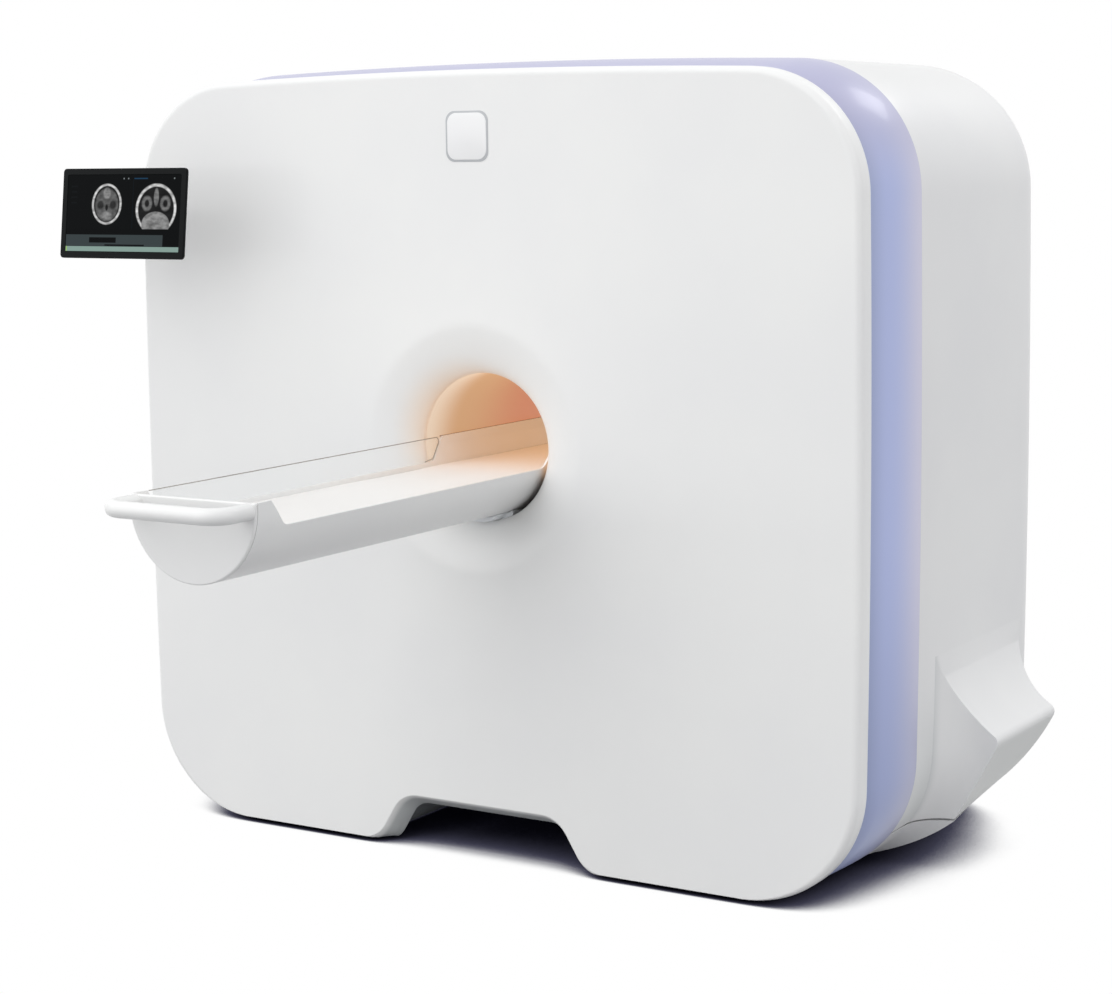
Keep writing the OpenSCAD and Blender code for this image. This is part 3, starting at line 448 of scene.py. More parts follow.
@dataclass(frozen=True)
class FairingPaint(ShadedPaint):
    """Paint of a fairing with painted shade in the valley at its end and on its underside."""

    # Painted shade on the underside: its tone and where it begins.
    under: Colour = srgb(216, 218, 216)
    face_y: Flat = (FRONT_Y + 0.379, FRONT_Y + 0.384)
    underside_shade_z: Flat = (0.292, 0.262)

    def colour(self, s: Surface) -> Socket:
        """Shaded paint with painted shade on the underside."""
        below = s.math("MULTIPLY", s.fade(UP, self.underside_shade_z), s.fade(INTO, self.face_y))
        return s.mix(below, super().colour(s), self.under)


@dataclass(frozen=True)
class LitBand(Finish):
    """Milky diffuser with painted light and shade in its colour: darker beside the front cover, low down
    and at the top, and paler towards the housing.
    """

    # Painted shade along the depth, darkest beside the front cover.
    tones: Tones = (srgb(150, 160, 190), srgb(176, 186, 226), srgb(202, 200, 220))
    depths: Point = (0.05, 0.13, 0.25)
    glow: float = 0.10
    # Painted shade low down and at the top.
    low: Colour = srgb(126, 136, 172)
    low_share: float = 0.5
    low_shade_z: Flat = (0.75, 0.10)
    top: Colour = srgb(170, 170, 198)
    top_z: Flat = (1.35, 1.54)

    def colour(self, s: Surface) -> Socket:
        """Painted light and shade along the depth and the height of the band.

        Args:
            s: The material's nodes.

        Returns:
            The colour.
        """
        low = s.math("MULTIPLY", s.fade(UP, self.low_shade_z), self.low_share)
        shown = s.mix(low, s.inward(self.tones, self.depths), self.low)
        return s.mix(s.fade(UP, self.top_z), shown, self.top)

    def extra(self, s: Surface, shader: Node) -> None:
        """Adds the faint light from inside."""
        s.feed(shader.inputs["Emission Color"], self.colour(s))
        shader.inputs["Emission Strength"].default_value = self.glow


@dataclass(frozen=True)
class WarmBore(Finish):
    """Bore lining that glows warm from inside and lights what lies in it; the camera sees painted tones
    that deepen into the bore, and below the tray the glow is cut off as painted shade.
    """

    tones: Tones = (srgb(221, 199, 176), srgb(196, 151, 112), srgb(196, 125, 95))
    depths: Point = (0.06, 0.19, 0.46)
    cast: Colour = (0.76, 0.42, 0.21, 1.0)
    # Below these heights the glow fades to black: painted shade under the tray.
    glow_cut_z: Flat = (0.785, 0.825)

    def extra(self, s: Surface, shader: Node) -> None:
        """Adds the warm light above the tray, deeper in colour further in; the camera sees painted tones,
        other rays the cast light.

        Args:
            s: The material's nodes.
            shader: Its shader.
        """
        ray = s.add("ShaderNodeLightPath").outputs["Is Camera Ray"]
        light = s.mix(ray, self.cast, s.inward(self.tones, self.depths))
        s.feed(shader.inputs["Emission Color"], s.mix(s.fade(UP, self.glow_cut_z), BLACK, light))
        shader.inputs["Emission Strength"].default_value = 1.0


@dataclass(frozen=True)
class ClearSheet(Finish):
    """Clear acrylic."""

    cover: float = 0.10

    def extra(self, s: Surface, shader: Node) -> None:
        """Lets most light straight through."""
        shader.inputs["Alpha"].default_value = self.cover


@dataclass(frozen=True)
class Oval:
    """One oval of the screen picture: centre, radii, grey and edge, as shares of half the screen."""

    x: float
    z: float
    rx: float
    rz: float
    grey: float
    edge: float


@dataclass(frozen=True)
class Bar:
    """One rectangle of the screen picture: centre, half sizes and tone."""

    x: float
    z: float
    hx: float
    hz: float
    tone: Colour


@dataclass(frozen=True)
class ScreenPicture(Finish):
    """Lit panel with a generic pair of test sections and plain bars."""

    place: Point = (0.0, 0.0, 0.0)
    lean: float = 0.0
    half: Flat = (0.16, 0.085)
    ovals: tuple[Oval, ...] = ()
    bars: tuple[Bar, ...] = ()
    ground: Colour = (0.0015, 0.0018, 0.002, 1.0)
    mottle_scale: float = 9.0
    mottle: Flat = (0.55, 1.45)

    def extra(self, s: Surface, shader: Node) -> None:
        """Draws the picture as light.

        Args:
            s: The material's nodes.
            shader: Its shader.
        """
        spot = s.add("ShaderNodeMapping", {
            "Vector": s.where, "Location": self.place, "Rotation": (math.radians(-self.lean), 0.0, 0.0),
            "Scale": (self.half[0], FAR, self.half[1])}, vector_type="TEXTURE").outputs[0]
        cloud = s.spread(s.noise(spot, self.mottle_scale, 4.0), 0.25, 0.75, *self.mottle)
        picture: object = self.ground
        for oval in self.ovals:
            centre, radii = (oval.x, 0.0, oval.z), (oval.rx, 1.0, oval.rz)
            mask = s.group("soft_oval", Vector=spot, Centre=centre, Radii=radii, Edge=oval.edge)
            grey = s.math("MULTIPLY", cloud, oval.grey)
            tone = s.add("ShaderNodeCombineColor", dict.fromkeys(range(3), grey))
            picture = s.mix(mask, picture, tone.outputs[0])
        for bar in self.bars:
            centre, half = (bar.x, 0.0, bar.z), (bar.hx, 1.0, bar.hz)
            mask = s.group("soft_box", Vector=spot, Centre=centre, Half=half)
            picture = s.mix(mask, picture, bar.tone)
        s.feed(shader.inputs["Emission Color"], picture)
        shader.inputs["Emission Strength"].default_value = 1.0


class Finishes:
    """Every finish of the scanner."""

    cover = GlowAndShadeCover("cover_paint", srgb(243, 243, 241), srgb(240, 240, 239), 0.42,
                       Relief.PEEL, 160.0, 0.00004, coat=0.15)
    # Painted shade on the housing: darker low down and on the roof.
    housing = ShadedPaint("housing_paint", srgb(238, 238, 237), srgb(234, 234, 234), 0.45,
                          Relief.PEEL, 160.0, 0.00004, coat=0.1,
                          shades=(Shade(UP, (0.46, 0.12), srgb(222, 224, 223)),
                                  Shade(UP, (1.50, 1.60), srgb(229, 229, 228))))
    # Painted shade in the valley where the fairing's front end meets the housing.
    fairing = FairingPaint("fairing_paint", srgb(238, 238, 237), srgb(234, 234, 234), 0.45,
                           Relief.PEEL, 160.0, 0.00004, coat=0.1,
                           shades=(Shade(INTO, (FRONT_Y + 0.338, FRONT_Y + 0.300), srgb(212, 214, 214)),))
    skirt = Finish("skirt_paint", srgb(228, 228, 228), srgb(224, 224, 225), 0.5,
                   Relief.PEEL, 160.0, 0.00004)
    plate = Finish("blank_plate", srgb(246, 246, 245), srgb(241, 241, 241), 0.3,
                   Relief.PEEL, 220.0, 0.00003, coat=0.3)
    rim = Finish("plate_rim", srgb(196, 198, 200), srgb(186, 188, 191), 0.35, Relief.GRAIN, 900.0, 0.00003)
    band = LitBand("band_diffuser", srgb(176, 186, 226), srgb(170, 180, 220), 0.38,
                   Relief.PEEL, 90.0, 0.00005, coat=0.2)
    strip = Finish("strip_potting", srgb(238, 238, 250), srgb(226, 226, 244), 0.25,
                   Relief.GRAIN, 400.0, 0.0001)
    bore = WarmBore("bore_lining_glow", srgb(66, 60, 56), srgb(58, 53, 50), 0.5,
                    Relief.PEEL, 140.0, 0.00005)
    tray = Finish("tray_moulding", srgb(240, 240, 238), srgb(236, 236, 235), 0.36,
                  Relief.PEEL, 200.0, 0.00003, coat=0.2)
    vinyl = Finish("pad_vinyl", srgb(247, 245, 242), srgb(243, 241, 238), 0.5,
                   Relief.VINYL, 900.0, 0.00012, sheen=0.05, specular=0.2)
    thread = Finish("mattress_thread", srgb(232, 232, 228), srgb(220, 220, 216), 0.7,
                    Relief.GRAIN, 4000.0, 0.0001)
    clear = ClearSheet("guard_acrylic", srgb(250, 253, 253), srgb(247, 251, 251), 0.03,
                       Relief.PEEL, 30.0, 0.00002)
    guard_edge = Finish("guard_edge", srgb(150, 142, 132), srgb(134, 126, 116), 0.3,
                        Relief.PEEL, 90.0, 0.00002)
    # Painted shadow line: a dark strip where shade falls between the far rim and the lining.
    shadow_line_paint = Finish("rim_shadow_line", srgb(112, 70, 50), srgb(100, 62, 44), 0.6, Relief.GRAIN, 900.0, 0.00003)
    rail = Finish("rail_plastic", srgb(244, 246, 248), srgb(238, 241, 243), 0.35,
                  Relief.GRAIN, 700.0, 0.00005)
    lining = Finish("lining_moulding", srgb(172, 176, 178), srgb(162, 166, 169), 0.55,
                    Relief.GRAIN, 500.0, 0.00008)
    black = Finish("black_moulding", srgb(22, 24, 25), srgb(17, 18, 20), 0.5,
                   Relief.GRAIN, 900.0, 0.00006, specular=0.2)
    bezel = Finish("bezel_satin", srgb(20, 23, 24), srgb(15, 17, 18), 0.38,
                   Relief.GRAIN, 1600.0, 0.00003, specular=0.06)
    arm = Finish("arm_coat", srgb(212, 214, 216), srgb(204, 206, 209), 0.4, Relief.PEEL, 320.0, 0.00005)
    steel = Finish("ground_steel", srgb(186, 190, 194), srgb(168, 172, 177), 0.3,
                   Relief.BRUSHED, 900.0, 0.00004, metallic=1.0)
    vessel = Finish("brushed_stainless", srgb(196, 199, 203), srgb(180, 184, 189), 0.35,
                    Relief.BRUSHED, 500.0, 0.00006, metallic=1.0)
    shield = Finish("plain_aluminium", srgb(208, 210, 213), srgb(192, 195, 199), 0.38,
                    Relief.BRUSHED, 300.0, 0.00005, metallic=1.0)
    copper = Finish("bare_copper", srgb(202, 128, 92), srgb(176, 104, 74), 0.35,
                    Relief.BRUSHED, 600.0, 0.00006, metallic=1.0)
    potting = Finish("cast_resin", srgb(222, 204, 160), srgb(206, 186, 142), 0.5,
                     Relief.GRAIN, 240.0, 0.0002)
    frame_coat = Finish("frame_powder", srgb(92, 97, 104), srgb(80, 85, 92), 0.55,
                        Relief.GRAIN, 800.0, 0.00012)
    cabinet = Finish("cabinet_powder", srgb(72, 76, 84), srgb(60, 64, 71), 0.55,
                     Relief.GRAIN, 800.0, 0.00012)
    rubber = Finish("foot_rubber", srgb(30, 30, 32), srgb(22, 22, 24), 0.8, Relief.GRAIN, 600.0, 0.0002)


def new_piece(name: str, mesh: bpy.types.Mesh) -> Piece:
    """Links a mesh into the scene as an object at the origin.

    Args:
        name: Name of the piece.
        mesh: Its mesh.

    Returns:
        The new object.
    """
    mesh.name = name
    made = bpy.data.objects.new(name, mesh)
    bpy.context.scene.collection.objects.link(made)
    return made


def piece_of(name: str, work: bmesh.types.BMesh) -> Piece:
    """Turns a working mesh into a piece.

    Args:
        name: Name of the piece.
        work: The working mesh, which is freed.

    Returns:
        The new object.
    """
    mesh = bpy.data.meshes.new(name)
    work.to_mesh(mesh)
    work.free()
    return new_piece(name, mesh)


def settled(obj: Piece) -> Piece:
    """Applies an object's modifiers and gives the plain result under the same name.

    Args:
        obj: Object with modifiers, which is removed.

    Returns:
        The plain object.
    """
    name = obj.name
    graph = bpy.context.evaluated_depsgraph_get()
    mesh = bpy.data.meshes.new_from_object(obj.evaluated_get(graph), depsgraph=graph)
    bpy.data.objects.remove(obj)
    return new_piece(name, mesh)


def shade(obj: Piece, angle: float = CRISP_ANGLE) -> None:
    """Shades a mesh smooth and keeps edges crisp that are sharper than an angle in degrees."""
    obj.data.shade_smooth()
    obj.data.set_sharp_from_angle(angle=math.radians(angle))


def soften(obj: Piece, width: float, segments: int, angle: float) -> None:
    """Adds a bevel along the sharp edges of a piece.

    Args:
        obj: The piece.
        width: Width of the softened edges.
        segments: Steps across a softened edge.
        angle: Edges sharper than this are softened, in degrees.
    """
    soft = obj.modifiers.new("soft_edges", "BEVEL")
    soft.width = width
    soft.segments = segments
    soft.limit_method = "ANGLE"
    soft.angle_limit = math.radians(angle)
    soft.harden_normals = False


def dress(obj: Piece, finish: Finish, body: Body, slot: str, *stands_for: str) -> Piece:
    """Gives a piece its finish and its body, and hides the nodes that it stands for.

    Args:
        obj: The piece.
        finish: Its finish.
        body: Body that it moves with.
        slot: Name of a material slot; not used.
        stands_for: CAD nodes that it replaces.

    Returns:
        The piece.
    """
    obj.data.materials.clear()
    obj.data.materials.append(finish.material())
    if stands_for:
        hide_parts(*stands_for)
    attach(obj, body.value)
    LOG.info("piece %s: %d faces on %s", obj.name, len(obj.data.polygons), body.value)
    return obj


@dataclass(frozen=True)
class SoftCopy:
    """A CAD node that is shown as a merged copy with softened edges."""

    node: str
    name: str
    finish: Finish
    slot: str
    bevel: float = 0.001
    segments: int = 2
    body: Body = Body.SCANNER
    angle: float = CRISP_ANGLE
    merge: float = 1e-5
    flat_angle: float = 0.3

    def build(self) -> Piece:
        """Makes the copy and dresses it.

        Returns:
            The dressed copy, shaded smooth.
        """
        work = bmesh.new()
        work.from_mesh(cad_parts[self.node].data)
        bmesh.ops.remove_doubles(work, verts=work.verts, dist=self.merge)
        flat = math.radians(self.flat_angle)
        bmesh.ops.dissolve_limit(work, angle_limit=flat, verts=work.verts, edges=work.edges)
        made = piece_of(self.name, work)
        shade(made, self.angle)
        if self.bevel:
            soften(made, self.bevel, self.segments, self.angle)
        made.modifiers.new("even_normals", "WEIGHTED_NORMAL").keep_sharp = True
        return dress(settled(made), self.finish, self.body, self.slot, self.node)


def skin(name: str, rows: list[Ring], rows_close: bool, rings_close: bool,
         angle: float = CRISP_ANGLE) -> Piece:
    """Closed skin over rows of points.

    Args:
        name: Name of the piece.
        rows: Rings of equal length, in order.
        rows_close: Whether the last ring joins the first; otherwise both are filled.
        rings_close: Whether each ring closes on itself; otherwise both ends get a face.
        angle: Edges sharper than this stay crisp, in degrees.

    Returns:
        The skin.
    """
    work = bmesh.new()
    grid = [[work.verts.new(point) for point in ring] for ring in rows]
    count = len(rows[0])
    following = grid[1:] + grid[:1] if rows_close else grid[1:]
    for here, there in zip(grid, following):
        for i in range(count if rings_close else count - 1):
            j = (i + 1) % count
            work.faces.new((here[i], here[j], there[j], there[i]))
    if not rings_close:
        work.faces.new([ring[0] for ring in grid])
        work.faces.new([ring[-1] for ring in reversed(grid)])
    if not rows_close:
        work.faces.new(grid[0])
        work.faces.new(list(reversed(grid[-1])))
    bmesh.ops.recalc_face_normals(work, faces=work.faces)
    made = piece_of(name, work)
    shade(made, angle)
    return made


def spaced(start: float, end: float, steps: int) -> list[float]:
    """Evenly spaced values, both ends included."""
    return [start + (end - start) * i / steps for i in range(steps + 1)]


def quarter(steps: int) -> list[float]:
    """Angles of a quarter turn in even steps, in radians."""
    return [math.radians(a) for a in spaced(0.0, 90.0, steps)]


def blend(a: Flat, b: Flat, share: float) -> Flat:
    """Point at a share of the way between two points."""
    return a[0] + (b[0] - a[0]) * share, a[1] + (b[1] - a[1]) * share


def arc(centre: Flat, radius: float, start: float, end: float, steps: int) -> Path:
    """Points of an arc between two angles in degrees, both ends included."""
    turns = [math.radians(a) for a in spaced(start, end, steps)]
    return [(centre[0] + radius * math.cos(a), centre[1] + radius * math.sin(a)) for a in turns]


def line(a: Flat, b: Flat, steps: int) -> Path:
    """Points along a line in even steps, without its last point."""
    return [blend(a, b, i / steps) for i in range(steps)]


def both_sides(half: Path) -> Path:
    """Joins a right half that ends on the middle to its mirror image."""
    return half + [(-x, z) for x, z in reversed(half[:-1])]


def at_depth(path: Path, depth: float) -> Ring:
    """Lifts a flat path into the frame of the part at a depth behind the front face."""
    return [(x, depth + FRONT_Y, z + FOOT_H) for x, z in path]


def clipped(path: Path, level: float, count: int) -> Path:
    """The part of a hood path above a level, in evenly spaced points.

    Args:
        path: The hood path.
        level: Height at which it is cut.
        count: Number of points.

    Returns:
        The new path.
    """
    above = [i for i, spot in enumerate(path) if spot[1] > level]
    first, last = above[0], above[-1]

    def at_level(a: Flat, b: Flat) -> Flat:
        """Point between two points at the level."""
        return blend(a, b, (level - a[1]) / (b[1] - a[1]))[0], level

    kept = [at_level(path[first - 1], path[first])]
    kept += path[first:last + 1]
    kept += [at_level(path[last], path[last + 1])]
    runs = [0.0]
    for a, b in zip(kept, kept[1:]):
        runs.append(runs[-1] + math.dist(a, b))
    result, k = [], 0
    for goal in spaced(0.0, runs[-1], count - 1):
        while k < len(runs) - 2 and runs[k + 1] < goal:
            k += 1
        result.append(blend(kept[k], kept[k + 1], (goal - runs[k]) / (runs[k + 1] - runs[k])))
    return result


class GrownTree:
    """A Geometry Nodes tree with named sizes."""

    def __init__(self, name: str, sizes: list[str]) -> None:
        """Makes the tree and its sockets.

        Args:
            name: Name of the tree.
            sizes: Names of its float inputs.
        """
        self.tree = bpy.data.node_groups.new(name, "GeometryNodeTree")
        self.tree.interface.new_socket("Geometry", in_out="INPUT", socket_type="NodeSocketGeometry")
        for label in sizes:
            self.tree.interface.new_socket(label, in_out="INPUT", socket_type="NodeSocketFloat")
        self.tree.interface.new_socket("Geometry", in_out="OUTPUT", socket_type="NodeSocketGeometry")
        self.t = Tree(self.tree)
        self.start = self.t.add("NodeGroupInput").outputs

    def close(self, shape: Socket, finish: Finish) -> None:
        """Ends the tree with plain meshes of one finish.

        Args:
            shape: The geometry so far.
            finish: Its finish.
        """
        real = self.t.add("GeometryNodeRealizeInstances", {"Geometry": shape})
        coat = self.t.add("GeometryNodeSetMaterial", {
            "Geometry": real.outputs[0], "Material": finish.material()})
        self.t.add("NodeGroupOutput", {0: coat.outputs[0]})

    def grow(self, name: str, points: list[Point], edges: list[tuple[int, int]],
             sizes: dict[str, float]) -> Piece:
        """Runs the tree on points and edges.

        Args:
            name: Name of the piece.
            points: Points of the base mesh.
            edges: Its edges.
            sizes: Values of the inputs by name.

        Returns:
            The plain piece.
        """
        mesh = bpy.data.meshes.new(name)
        mesh.from_pydata(points, edges, [])
        base = new_piece(name, mesh)
        grown = base.modifiers.new("grown", "NODES")
        grown.node_group = self.tree
        for item in self.tree.interface.items_tree:
            if item.in_out == "INPUT" and item.name in sizes:
                grown[item.identifier] = sizes[item.name]
        return settled(base)


@dataclass(frozen=True)
class Outline:
    """Bowed outline that the covers share, solved from its bows and corners."""

    width: float = 1.710
    height: float = 1.600
    corner_r: float = 0.240
    top_bow_r: float = 18.0
    side_bow_r: float = 34.0

    @property
    def side_centre(self) -> Flat:
        """Centre of the right side bow."""
        return self.width / 2 - self.side_bow_r, self.height / 2

    @property
    def top_centre(self) -> Flat:
        """Centre of the top bow."""
        return 0.0, self.height - self.top_bow_r

    @property
    def corner_centre(self) -> Flat:
        """Centre of the upper right corner, tangent to both bows."""
        side = Vector(self.side_centre)
        span = Vector(self.top_centre) - side
        side_q = self.side_bow_r - self.corner_r
        top_q = self.top_bow_r - self.corner_r
        along = (side_q ** 2 - top_q ** 2 + span.length_squared) / (2 * span.length)
        across = math.sqrt(side_q ** 2 - along ** 2)
        unit = span.normalized()
        spot = side + unit * along + Vector((-unit.y, unit.x)) * across
        return spot.x, spot.y

    def foot_centre(self, level: float) -> Flat:
        """Centre of the lower right corner at a height.

        Args:
            level: Height of the centre.

        Returns:
            The centre.
        """
        side_q = self.side_bow_r - self.corner_r
        x, z = self.side_centre
        return x + math.sqrt(side_q ** 2 - (level - z) ** 2), level

    def turn(self, centre: Flat, spot: Flat) -> float:
        """Angle of a spot as seen from a centre, in degrees."""
        return math.degrees(math.atan2(spot[1] - centre[1], spot[0] - centre[0]))

    def upper(self, grow: float, foot: Flat) -> Path:
        """Right half from the lower corner up to the middle of the top.

        Args:
            grow: How far the path lies outside the front cover.
            foot: Centre of the lower corner.

        Returns:
            The path.
        """
        low = self.turn(self.side_centre, foot)
        side = self.turn(self.side_centre, self.corner_centre)
        top = self.turn(self.top_centre, self.corner_centre)
        return (arc(foot, self.corner_r + grow, -90.0, low, 26)
                + arc(self.side_centre, self.side_bow_r + grow, low, side, 22)[1:-1]
                + arc(self.corner_centre, self.corner_r + grow, side, top, 30)
                + arc(self.top_centre, self.top_bow_r + grow, top, 90.0, 14)[1:])

    def hood(self, grow: float, low: float, start_x: float) -> Path:
        """Open path at an outset, from the lower right edge over the top to the lower left edge."""
        foot = self.foot_centre(low + self.corner_r + grow)
        return both_sides(line((start_x, low), (foot[0], low), 6) + self.upper(grow, foot))


@dataclass
class FrontCover:
    """The large front cover with its rolled edge, arch and bore mouth, and the blank plate."""

    outline: Outline = Outline()
    depth: float = 0.045
    wall: float = 0.008
    edge_r: float = 0.014
    edge_flat: float = 0.003
    lip_r: float = 0.002
    low_share: float = 0.22
    arch_lean: float = 0.025
    corner_blend: int = 14
    bore_r: float = 0.150
    bore_z: float = 0.845
    mouth_r: float = 0.055
    mouth_w: float = 0.100
    mouth_flat: float = 0.010
    funnel: float = 0.30
    arch_floor: float = 0.510
    arch_top: float = 0.380
    arch_h: float = 0.106
    arch_r: float = 0.068
    plate_size: float = 0.100
    plate_rim: float = 0.004
    plate_z: float = 1.469
    plate_r: float = 0.020
    plate_gap: float = 0.0001
    plate_proud: Flat = (0.0008, 0.0016)
    plate_softness: float = 0.6

    def edge_path(self, inset: float, share: float = 1.0, lean: float = 0.0) -> Path:
        """Outline of the cover with the arch, drawn inside its outer edge.

        Args:
            inset: Distance inside the outer edge.
            share: Share of that distance along the arch and the lower edge.
            lean: How far the wall of the arch leans into its opening.

        Returns:
            The closed path.
        """
        slope = math.degrees(math.atan2(self.arch_h, (self.arch_floor - self.arch_top) / 2))
        tangent = self.arch_r * math.tan(math.radians(slope / 2))
        low = (self.arch_floor / 2 + tangent, self.arch_r)
        high = (self.arch_top / 2 - tangent, self.arch_h - self.arch_r)
        foot = self.outline.foot_centre(self.outline.corner_r)
        rise = inset * share
        arch = rise - lean
        half = (line((0.0, self.arch_h + arch), (high[0], self.arch_h + arch), 8)
                + arc(high, self.arch_r + arch, 90.0, 90.0 - slope, 10)
                + arc(low, self.arch_r - arch, 270.0 - slope, 270.0, 10)
                + line((low[0], rise), (foot[0], rise), 10)[1:])
        half = [(x, max(z, rise)) for x, z in half]
        turned = zip(self.outline.upper(-rise, foot), self.outline.upper(-inset, foot))
        half += [blend(a, b, min(1.0, i / self.corner_blend)) for i, (a, b) in enumerate(turned)]
        return half + [(-x, z) for x, z in reversed(half[1:-1])]

    def mouth_path(self, radius: float) -> Path:
        """Circle about the bore axis whose points face those of the edge."""
        turns = [math.atan2(z - self.bore_z, x) for x, z in self.edge_path(self.edge_r)]
        return [(radius * math.cos(a), self.bore_z + radius * math.sin(a)) for a in turns]

    def flat_rings(self, inner: Path, outer: Path, shares: Point, depth: float) -> list[Ring]:
        """Rings on the flat at a depth, at shares of the way between two paths of equal length."""
        pairs = list(zip(inner, outer))
        return [at_depth([blend(a, b, share) for a, b in pairs], depth) for share in shares]

    def edge_ring(self, inset: float, depth: float, share: float) -> Ring:
        """Ring along the outer edge at a depth, with the arch wall leaning in behind the face."""
        return at_depth(self.edge_path(inset, share, self.arch_lean * depth / self.depth), depth)

    def roll_depth(self, turn: float) -> float:
        """Depth of the rolled mouth at a turn from its inner end, with a share of plain funnel."""
        rolled = 1 - math.sin(turn)
        return self.mouth_r * (rolled + (math.cos(turn) - rolled) * self.funnel)

    def stations(self) -> list[Ring]:
        """Rings round the wall section, from the bore mouth over the front to the back."""
        mouth = self.bore_r + self.mouth_w
        slim = self.low_share
        turns = quarter(16)
        inner = self.mouth_path(mouth)
        rings = [at_depth(self.mouth_path(mouth - self.mouth_w * math.cos(a)), self.roll_depth(a))
                 for a in turns]
        rings += [at_depth(self.mouth_path(mouth + self.mouth_flat), 0.0)]
        rings += self.flat_rings(inner, self.edge_path(self.edge_r, slim), (0.2, 0.5, 0.8), 0.0)
        rings += [at_depth(self.edge_path(self.edge_r + self.edge_flat, slim), 0.0)]
        rings += [self.edge_ring(self.edge_r * (1 - math.sin(a)), self.edge_r * (1 - math.cos(a)), slim)
                  for a in quarter(10)]
        lip_y = self.depth - self.lip_r
        rings += [self.edge_ring(self.lip_r * (1 - math.cos(a)), lip_y + self.lip_r * math.sin(a), 1.0)
                  for a in quarter(4)]
        rings += [self.edge_ring(self.wall, y, 1.0) for y in (self.depth, self.wall)]
        rings += self.flat_rings(inner, self.edge_path(self.wall), (0.7, 0.3, 0.0), self.wall)
        wide, thick = self.mouth_w - self.wall, self.mouth_r - self.wall
        rings += [at_depth(self.mouth_path(mouth - wide * math.sin(a)), self.mouth_r - thick * math.cos(a))
                  for a in turns[2::2]]
        return rings

    def build(self) -> None:
        """Makes the cover skin and the blank plate."""
        cover = skin("front_cover_skin", self.stations(), True, True)
        dress(cover, Finishes.cover, Body.SCANNER, "cover_white", "front_cover", "bore_mouth")
        rim, face = self.plate_proud
        self.blank_plate("blank_plate_rim", self.plate_size, rim, Finishes.rim)
        self.blank_plate("blank_plate", self.plate_size - 2 * self.plate_rim, face, Finishes.plate)

    def blank_plate(self, name: str, size: float, proud: float, finish: Finish) -> None:
        """Makes one layer of the bare plate above the bore.

        Args:
            name: Name of the piece.
            size: Its width and height.
            proud: How far it stands in front of the cover.
            finish: Its finish.
        """
        half = size / 2 - self.plate_r
        corners = [arc((sx * half, sz * half), self.plate_r, a, a + 90.0, 12)
                   for sx, sz, a in ((1, 1, 0.0), (-1, 1, 90.0), (-1, -1, 180.0), (1, -1, 270.0))]
        path = [(x, z + self.plate_z) for part in corners for x, z in part]
        plate = skin(name, [at_depth(path, -y) for y in (proud, self.plate_gap)], False, True)
        soften(plate, self.plate_softness * proud, 3, CRISP_ANGLE)
        plate = settled(plate)
        shade(plate)
        dress(plate, finish, Body.SCANNER, "cover_white")


@dataclass
class LightBand:
    """The lilac diffuser between front cover and housing."""

    outline: Outline = Outline()
    recess: float = 0.030
    grow: float = 0.020
    start: float = 0.008
    cover_depth: float = 0.045
    end: float = 0.230
    wall: float = 0.006
    low: float = 0.002
    skid_out: float = 0.385

    def flare(self, depth: float) -> float:
        """Outset of the outer face, which flares along an arc.

        Args:
            depth: Depth behind the front face.

        Returns:
            The outset.
        """
        run = self.end - self.cover_depth
        rise = self.recess + self.grow
        radius = (run ** 2 + rise ** 2) / (2 * rise)
        return self.grow - radius + math.sqrt(radius ** 2 - (self.end - depth) ** 2)

    def station(self, outset: float, depth: float, inward: float) -> Ring:
        """One ring at an outset of the outer face, a depth and a distance inside that face."""
        low = max(self.low, -outset) + inward
        return at_depth(self.outline.hood(outset - inward, low, self.skid_out), depth)

    def build(self) -> None:
        """Makes the band."""
        depths = spaced(self.cover_depth, self.end, 22)
        rings = [self.station(-self.recess, self.start, 0.0)]
        rings += [self.station(self.flare(y), y, 0.0) for y in depths]
        rings += [self.station(self.flare(y), y, self.wall) for y in reversed(depths[::2])]
        rings += [self.station(-self.recess, self.start, self.wall)]
        band = skin("light_band_skin", rings, True, False)
        dress(band, Finishes.band, Body.SCANNER, "band_lilac", "light_band")


